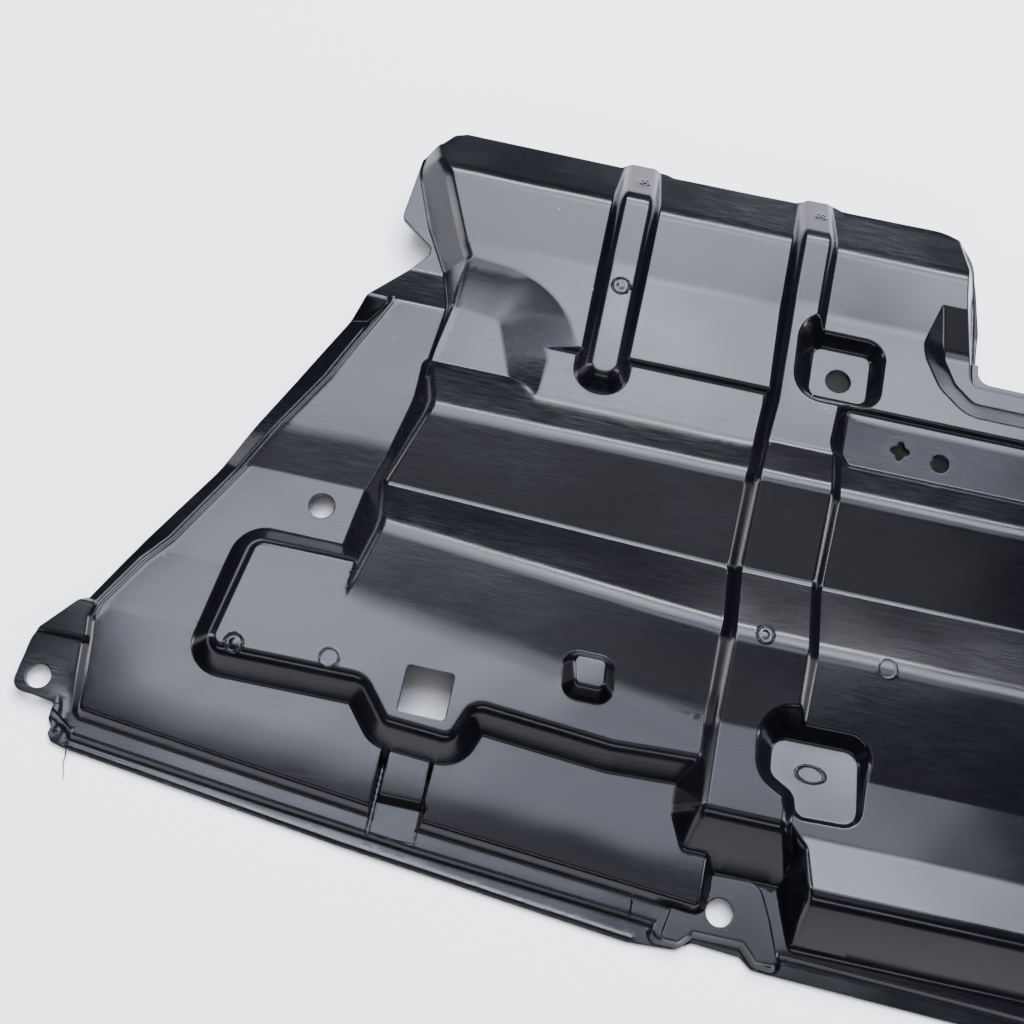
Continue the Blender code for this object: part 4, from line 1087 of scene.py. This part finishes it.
def facing(heights):
    """Unit normals of a map of heights: (-dz/dx, -dz/dy, 1), scaled to length 1."""
    rise, run = np.gradient(heights[:, :, 0], CELL)
    normal = np.stack([-run, -rise, np.ones(rise.shape)], 2)
    return normal / np.linalg.norm(normal, axis=2)[:, :, None]


def mapped(field, points):
    """Values of a map at each place, carried evenly between the four cells round it."""
    place = (points - MAP_LOW) / CELL
    cell = np.floor(place).astype(int)
    a, b = (place - cell).T[:, :, None]
    i, j = cell[:, 1], cell[:, 0]
    return ((field[i, j] * (1 - a) + field[i, j + 1] * a) * (1 - b)
            + (field[i + 1, j] * (1 - a) + field[i + 1, j + 1] * a) * b)


def relief_normals(points):
    """Unit normals of the relief: (-dz/dx, -dz/dy, 1) from heights a nudge to either side."""
    x, y = points.T
    run = (relief(x + NUDGE, y) - relief(x - NUDGE, y)) / (2 * NUDGE)
    rise = (relief(x, y + NUDGE) - relief(x, y - NUDGE)) / (2 * NUDGE)
    normal = np.stack([-run, -rise, np.ones(len(x))], 1)
    return normal / np.linalg.norm(normal, axis=1)[:, None]


upper_facing, lower_facing = facing(upper_map), facing(lower_map)
steepest = math.degrees(math.acos(float(upper_facing[:, :, 2].min())))
print("The steepest wall stands at", round(steepest), "degrees")

# %% [markdown]
# ## Finer where it turns
# Rows alone leave gaps where two fillets run into each other. So the nets are halved where they need it. An
# edge gets a new point in its middle when the surface along it leaves the straight line between its ends, in
# height or in the way it faces. Cut edges keep their points, so that both surfaces still meet there.

# %% Which edges are bent
def edge_table(triangles, count):
    """Each edge once, the number of the edge on each side of every triangle, and which have two triangles."""
    ends = np.sort(np.stack([triangles, np.roll(triangles, -1, axis=1)], 2), axis=2).reshape(-1, 2)
    key, index, uses = np.unique(ends[:, 0] * count + ends[:, 1], return_inverse=True, return_counts=True)
    return np.stack([key // count, key % count], 1), index.reshape(-1, 3), uses == 2


def bent(points, edges, heights, normals, turn, sag):
    """Whether the surface leaves the straight line between the ends of each edge, by the turn or the sag."""
    a, b = points[edges[:, 0]], points[edges[:, 1]]
    height_a, height_b = mapped(heights, a), mapped(heights, b)
    normal_a, normal_b = mapped(normals, a), mapped(normals, b)
    found = np.zeros(len(edges), bool)
    for share in (0.25, 0.5, 0.75):
        place = a + (b - a) * share
        even = normal_a + (normal_b - normal_a) * share
        real = mapped(normals, place)
        cosine = (even * real).sum(axis=1) / np.linalg.norm(even, axis=1) / np.linalg.norm(real, axis=1)
        off = np.abs(mapped(heights, place) - height_a - (height_b - height_a) * share)[:, 0]
        found |= (cosine < np.cos(np.radians(turn))) | (off > sag)
    return found


print("The upper net has", len(edge_table(faces, len(plan))[0]), "edges before it is halved")


# %% Halving
FINE = (7.0, 0.07, 1.1)  # turn in degrees, sag and least length in millimetres
PLAIN = (13.0, 0.14, 1.9)
COARSE = (24.0, 0.35, 3.2)
ROUNDS = 3


def halved(points, triangles, edges, sides, marked):
    """A new point in the middle of every marked edge: its triangles become two, three or four."""
    number = np.full(len(edges), -1)
    number[marked] = len(points) + np.arange(marked.sum())
    middle = number[sides]
    count = (middle >= 0).sum(axis=1)
    parts = [triangles[count == 0]]
    for turn in range(3):
        a, b, c = np.roll(triangles, -turn, axis=1).T
        ab, bc, ca = np.roll(middle, -turn, axis=1).T
        one, two = (count == 1) & (ab >= 0), (count == 2) & (ca < 0)
        parts += [np.stack(shape, 1)[one] for shape in ((a, ab, c), (ab, b, c))]
        parts += [np.stack(shape, 1)[two] for shape in ((ab, b, bc), (a, ab, c), (ab, bc, c))]
    quarters = ((a, ab, ca), (ab, b, bc), (ca, bc, c), (ab, bc, ca))
    parts += [np.stack(shape, 1)[count == 3] for shape in quarters]
    return np.concatenate([points, points[edges[marked]].mean(axis=1)]), np.concatenate(parts)


def refined(points, triangles, heights, normals, left, right):
    """The net after some rounds of halving. Left and right half have their own turn, sag and least length."""
    for _ in range(ROUNDS):
        edges, sides, shared = edge_table(triangles, len(points))
        ends = points[edges]
        length = np.hypot(*(ends[:, 1] - ends[:, 0]).T)
        on_left = (ends[:, 0, 0] < 0)[:, None]
        turn, sag, least = np.where(on_left, left, right).T
        marked = shared & (length > least) & bent(points, edges, heights, normals, turn, sag)
        longest = sides[np.arange(len(sides)), length[sides].argmax(axis=1)]
        for _ in range(2):
            marked[longest[marked[sides].any(axis=1)]] = True
            marked &= shared
        points, triangles = halved(points, triangles, edges, sides, marked)
    return points, triangles


plan, faces = refined(plan, faces, upper_map, upper_facing, FINE, PLAIN)
under_plan, under_faces = refined(under_plan, under_faces, lower_map, lower_facing, COARSE, COARSE)
print("After halving:", len(faces), "triangles above and", len(under_faces), "below")

# %% [markdown]
# ## The sheet
# The two surfaces are joined by a wall along each cut edge. The normals of the upper surface come from the
# relief itself and not from the triangles, so a large triangle mirrors the light as the true curve would.

# %% Meshes from arrays
def spread(count, index, vectors):
    """Sum of the vectors at each index, scaled to length 1 where it isn't zero."""
    total = np.stack([np.bincount(index, vectors[:, k], count) for k in range(vectors.shape[1])], 1)
    length = np.linalg.norm(total, axis=1)
    return total / np.where(length > 0, length, 1)[:, None]


def same_places(points, wanted):
    """The number of the point that lies at each wanted place."""
    key, sought = points[:, 0] + 1j * points[:, 1], wanted[:, 0] + 1j * wanted[:, 1]
    order = np.argsort(key)
    number = order[np.minimum(np.searchsorted(key, sought, sorter=order), len(key) - 1)]
    print("Cut edges meet to within", float(np.abs(key[number] - sought).max()), "mm")
    return number


def mesh_object(name, points, polygons, normals):
    """A smooth mesh from arrays: points in metres, lists of corners, and one normal per corner."""
    mesh = bpy.data.meshes.new(name)
    sizes = np.concatenate([np.full(len(group), group.shape[1]) for group in polygons])
    corners = np.concatenate([group.ravel() for group in polygons])
    mesh.vertices.add(len(points))
    mesh.vertices.foreach_set("co", points.astype(np.float32).ravel())
    mesh.loops.add(len(corners))
    mesh.loops.foreach_set("vertex_index", corners.astype(np.int32))
    mesh.polygons.add(len(sizes))
    mesh.polygons.foreach_set("loop_start", (np.cumsum(sizes) - sizes).astype(np.int32))
    mesh.polygons.foreach_set("use_smooth", np.ones(len(sizes), bool))
    mesh.update(calc_edges=True)
    mesh.validate()
    mesh.normals_split_custom_set(normals.tolist())
    piece = bpy.data.objects.new(name, mesh)
    bpy.context.scene.collection.objects.link(piece)
    return piece


corner = spread(1, np.array([0, 0]), np.array([[1.0, 0.0], [0.0, 1.0]]))
print("Outward at a square corner is", np.round(corner[0], 3).tolist())


# %% The closed sheet
LIFT = WALL - LEDGE_Z
MIDDLE_BACK = 192.625
TRIM_DROP = 0.3


def moulded_sheet():
    """The closed sheet: upper surface, underside, and the wall that joins them along each cut edge."""
    count = len(plan)
    ends = open_edges(faces, count)
    run = plan[ends[:, 1]] - plan[ends[:, 0]]
    outward = np.stack([run[:, 1], -run[:, 0]], 1) / np.linalg.norm(run, axis=1)[:, None]
    at_edge = spread(count, ends.ravel(), np.repeat(outward, 2, axis=0))
    trimmed = np.zeros(count)
    trimmed[ends.ravel()] = TRIM_DROP
    upper = np.column_stack([plan, relief(*plan.T) - trimmed])
    lower = np.column_stack([under_plan, mapped(lower_map, under_plan)])
    normals = relief_normals(plan)
    normals[ends.ravel()] += np.column_stack([at_edge, np.zeros(count)])[ends.ravel()]
    normals /= np.linalg.norm(normals, axis=1)[:, None]
    below = -mapped(lower_facing, under_plan)
    under = under_faces[:, ::-1]
    lower_ends = count + same_places(under_plan, plan[ends.ravel()]).reshape(-1, 2)
    walls = np.column_stack([ends[:, 0], lower_ends[:, 0], lower_ends[:, 1], ends[:, 1]])
    side = np.column_stack([at_edge, np.zeros(count)])[ends]
    wall_normals = side[:, [0, 0, 1, 1]].reshape(-1, 3)
    points = (np.concatenate([upper, lower]) + (0, -MIDDLE_BACK, LIFT)) * MM
    corner_normals = np.concatenate([
        normals[faces].reshape(-1, 3), below[under].reshape(-1, 3), wall_normals])
    return mesh_object("moulded_sheet", points, [faces, under + count, walls], corner_normals)


sheet = moulded_sheet()
print("The sheet has", len(sheet.data.loops) - 2 * len(sheet.data.polygons), "triangles")

# %% [markdown]
# ## A wisp of flash
# A thread of plastic was drawn out when the corner was torn. It is a round profile carried along a curved
# path, and its radius shrinks along the way. The path's own direction sets how the profile stands at each
# step.

# %% Wisp
WISP_PATH = [(-479.0, 33.2, 1.3), (-476.4, 29.4, 1.6), (-475.6, 26.0, 1.3), (-475.8, 22.4, 0.8),
             (-474.4, 18.6, 0.3), (-473.5, 15.2, -0.1)]
WISP_STEPS, WISP_SIDES = 40, 8
WISP_RADII = (0.42, 0.14)
WISP_SMOOTHED = 6


def flash_wisp():
    """Centre c(t) carried evenly through the path, plus radius(t) * (cos a * side + sin a * up) round it."""
    t = np.linspace(0, len(WISP_PATH) - 1, WISP_STEPS)
    path = np.array(WISP_PATH)
    centre = np.stack([np.interp(t, np.arange(len(path)), path[:, k]) for k in range(3)], 1)
    for _ in range(WISP_SMOOTHED):
        centre[1:-1] = (centre[:-2] + 2 * centre[1:-1] + centre[2:]) / 4
    along = np.gradient(centre, axis=0)
    side = np.stack([along[:, 1], -along[:, 0], np.zeros(WISP_STEPS)], 1)
    side /= np.linalg.norm(side, axis=1)[:, None]
    up = np.cross(side, along / np.linalg.norm(along, axis=1)[:, None])
    radius = np.linspace(*WISP_RADII, WISP_STEPS)[:, None, None]
    a = (np.arange(WISP_SIDES) * 2 * math.pi / WISP_SIDES)[None, :, None]
    rings = centre[:, None] + radius * (np.cos(a) * side[:, None] + np.sin(a) * up[:, None])
    ring, corner = np.meshgrid(np.arange(WISP_STEPS - 1), np.arange(WISP_SIDES), indexing="ij")
    after = (corner + 1) % WISP_SIDES
    quads = np.stack([ring * WISP_SIDES + corner, ring * WISP_SIDES + after,
                      (ring + 1) * WISP_SIDES + after, (ring + 1) * WISP_SIDES + corner], 2).reshape(-1, 4)
    last = (WISP_STEPS - 1) * WISP_SIDES
    caps = [list(range(WISP_SIDES))[::-1], list(range(last, last + WISP_SIDES))]
    mesh = bpy.data.meshes.new("flash_wisp")
    points = (rings.reshape(-1, 3) + (0, -MIDDLE_BACK, LIFT)) * MM
    mesh.from_pydata(points.tolist(), [], quads.tolist() + caps)
    mesh.polygons.foreach_set("use_smooth", np.ones(len(mesh.polygons), bool))
    piece = bpy.data.objects.new("flash_wisp", mesh)
    bpy.context.scene.collection.objects.link(piece)
    return piece


wisp = flash_wisp()
lowest = round(min(corner[2] for corner in wisp.bound_box) / MM, 2)
print("The wisp is", round(wisp.dimensions.y / MM, 1), "mm long; its lowest point is at", lowest, "mm")

# %% [markdown]
# ## Finish
# The plastic is nearly black and rather glossy. It has been wiped and rubbed from side to side, which leaves
# fine streaks that run across the shield, paler scuffs on the raised folds, and turned marks round the holes.
# All of it changes how sharply the surface mirrors, and hardly what colour it is.

# %% Helpers for nodes
def node(tree, kind, **settings):
    """A new node with the given settings, each of them an input's value or a property of the node."""
    made = tree.nodes.new(kind)
    for key, value in settings.items():
        if key in made.inputs:
            made.inputs[key].default_value = value
        else:
            setattr(made, key, value)
    return made


def noise(tree, coordinates, scale, detail, stretch=(1, 1, 1), roughness=0.55):
    """Noise over the object, drawn out along the axes that have a small stretch."""
    mapping = node(tree, "ShaderNodeMapping", Scale=stretch)
    tree.links.new(coordinates, mapping.inputs["Vector"])
    made = node(tree, "ShaderNodeTexNoise", Scale=scale, Detail=detail, Roughness=roughness)
    tree.links.new(mapping.outputs["Vector"], made.inputs["Vector"])
    return made.outputs["Fac"]


def ranged(tree, value, low, high, out_low, out_high):
    """The value carried from one range to another, held at its ends."""
    made = node(tree, "ShaderNodeMapRange")
    for socket, number in zip(("From Min", "From Max", "To Min", "To Max"), (low, high, out_low, out_high)):
        made.inputs[socket].default_value = number
    tree.links.new(value, made.inputs["Value"])
    return made.outputs["Result"]


def maths(tree, operation, a, b):
    """The result of one operation on a and b, each of them a number or another node's output."""
    made = node(tree, "ShaderNodeMath", operation=operation)
    for socket, value in zip(made.inputs, (a, b)):
        if isinstance(value, (int, float)):
            socket.default_value = value
        else:
            tree.links.new(value, socket)
    return made.outputs[0]


STREAK_SCALE, STREAK_STRETCH, STREAK_RANGE = 60, (1.3, 34.0, 12.0), (0.40, 0.66)
longer = round(STREAK_STRETCH[1] / STREAK_STRETCH[0])
print("A streak is about", longer, "times as long as it is wide")

# %% [markdown]
# Washers and bolt heads have turned on the plastic round each hole and left fine rings. The distance from
# the hole's middle, measured in plan, goes through a sine, and the rings fade out as it grows.

# %% Turned marks
TURNED_AT = (WING_HOLE, TAB_HOLE, FRONT_TAB_HOLE, PAD_HOLE, DRAIN_PLACE, STAR_PLACE)
TURNED_FROM, TURNED_TO, TURNED_STEP = 7.0, 15.0, 1.3


def turned_marks(tree, place):
    """Rings round the left half's holes, sin(2 pi r / step), that fade outwards, and where they show."""
    rings, shown = 0.0, 0.0
    for out, back in TURNED_AT:
        spot = node(tree, "ShaderNodeVectorMath", operation="DISTANCE")
        flat = node(tree, "ShaderNodeVectorMath", operation="MULTIPLY")
        tree.links.new(place, flat.inputs[0])
        flat.inputs[1].default_value = (1, 1, 0)
        tree.links.new(flat.outputs["Vector"], spot.inputs[0])
        spot.inputs[1].default_value = (-out * MM, (back - MIDDLE_BACK) * MM, 0)
        fade = ranged(tree, spot.outputs["Value"], TURNED_FROM * MM, TURNED_TO * MM, 1.0, 0.0)
        wave = maths(tree, "SINE", maths(tree, "MULTIPLY", spot.outputs["Value"],
                                         2 * math.pi / (TURNED_STEP * MM)), 0.0)
        rings = maths(tree, "ADD", maths(tree, "MULTIPLY", wave, fade), rings)
        shown = maths(tree, "MAXIMUM", fade, shown)
    return rings, shown


print(len(TURNED_AT), "holes have turned marks, out to", TURNED_TO, "mm")

# %% [markdown]
# The streaks and scuffs come from one noise each. Their product says how rubbed a place is. It raises the
# roughness and lightens the black a little. A fine bump carries the streaks, the grain and the turned rings.

# %% Black plastic
BLACK, RUBBED_BLACK = (0.002, 0.002, 0.003, 1), (0.010, 0.010, 0.013, 1)
DUST, DUST_SCALE, SPECK = (0.35, 0.34, 0.33, 1), 42.0, (0.010, 0.014)
SPECULAR, SMOOTHEST, DULLEST, RUBBED_BY = 0.25, 0.15, 0.21, 0.12
SCUFF_SCALE, SCUFF_STRETCH, SCUFF_RANGE, LEAST_SCUFF = 9, (0.7, 1.6, 1.0), (0.44, 0.68), 0.25
GRAIN_SCALE, GLOSS_RANGE = 1500, (0.3, 0.7)
BUMP_STRENGTH, BUMP_DEPTH = 0.4, 0.000035
STREAK_SHARE, GRAIN_SHARE, RING_SHARE = 0.8, 0.2, 0.25
MIX_A, MIX_B, MIX_RESULT = 6, 7, 2  # the colour sockets of a Mix node


def black_plastic():
    """Near-black glossy plastic with side-to-side streaks, scuffs, turned marks and a few specks of dust."""
    material = bpy.data.materials.new("black_plastic")
    material.use_nodes = True
    tree = material.node_tree
    shader = tree.nodes["Principled BSDF"]
    shader.inputs["Specular IOR Level"].default_value = SPECULAR
    place = node(tree, "ShaderNodeTexCoord").outputs["Object"]
    streaks = noise(tree, place, STREAK_SCALE, 5, STREAK_STRETCH, 0.65)
    scuffs = noise(tree, place, SCUFF_SCALE, 4, SCUFF_STRETCH, 0.55)
    grain = noise(tree, place, GRAIN_SCALE, 2)
    rings, turned = turned_marks(tree, place)
    streak = ranged(tree, streaks, *STREAK_RANGE, 0.0, 1.0)
    scuff = maths(tree, "MAXIMUM", ranged(tree, scuffs, *SCUFF_RANGE, LEAST_SCUFF, 1.0), turned)
    rubbed = maths(tree, "MULTIPLY", streak, scuff)
    gloss = ranged(tree, scuffs, *GLOSS_RANGE, SMOOTHEST, DULLEST)
    rough = maths(tree, "ADD", gloss, maths(tree, "MULTIPLY", rubbed, RUBBED_BY))
    tree.links.new(rough, shader.inputs["Roughness"])
    dust = node(tree, "ShaderNodeTexVoronoi", Scale=DUST_SCALE)
    tree.links.new(place, dust.inputs["Vector"])
    speck = ranged(tree, dust.outputs["Distance"], *SPECK, 1.0, 0.0)
    colour = node(tree, "ShaderNodeMix", data_type="RGBA")
    colour.inputs[MIX_A].default_value = BLACK
    colour.inputs[MIX_B].default_value = RUBBED_BLACK
    tree.links.new(rubbed, colour.inputs["Factor"])
    dusty = node(tree, "ShaderNodeMix", data_type="RGBA")
    tree.links.new(colour.outputs[MIX_RESULT], dusty.inputs[MIX_A])
    dusty.inputs[MIX_B].default_value = DUST
    tree.links.new(speck, dusty.inputs["Factor"])
    tree.links.new(dusty.outputs[MIX_RESULT], shader.inputs["Base Color"])
    bump = node(tree, "ShaderNodeBump", Strength=BUMP_STRENGTH, Distance=BUMP_DEPTH)
    fine = maths(tree, "ADD", maths(tree, "MULTIPLY", streaks, STREAK_SHARE),
                 maths(tree, "MULTIPLY", grain, GRAIN_SHARE))
    height = maths(tree, "ADD", fine, maths(tree, "MULTIPLY", rings, RING_SHARE))
    tree.links.new(height, bump.inputs["Height"])
    tree.links.new(bump.outputs["Normal"], shader.inputs["Normal"])
    return material


plastic = black_plastic()
print("Finish:", plastic.name, "with", len(plastic.node_tree.nodes), "nodes")

# %% [markdown]
# The shield has no joints, so both pieces ride on the one body. The sheet is shown in place of the imported
# solid, which is hidden, and the thread has no counterpart in the imported model.

# %% What the pieces ride on
for piece in (sheet, wisp):
    piece.data.materials.append(plastic)
    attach(piece, "root")
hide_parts("splash_shield")
print("Pieces:", [piece.name for piece in (sheet, wisp)])
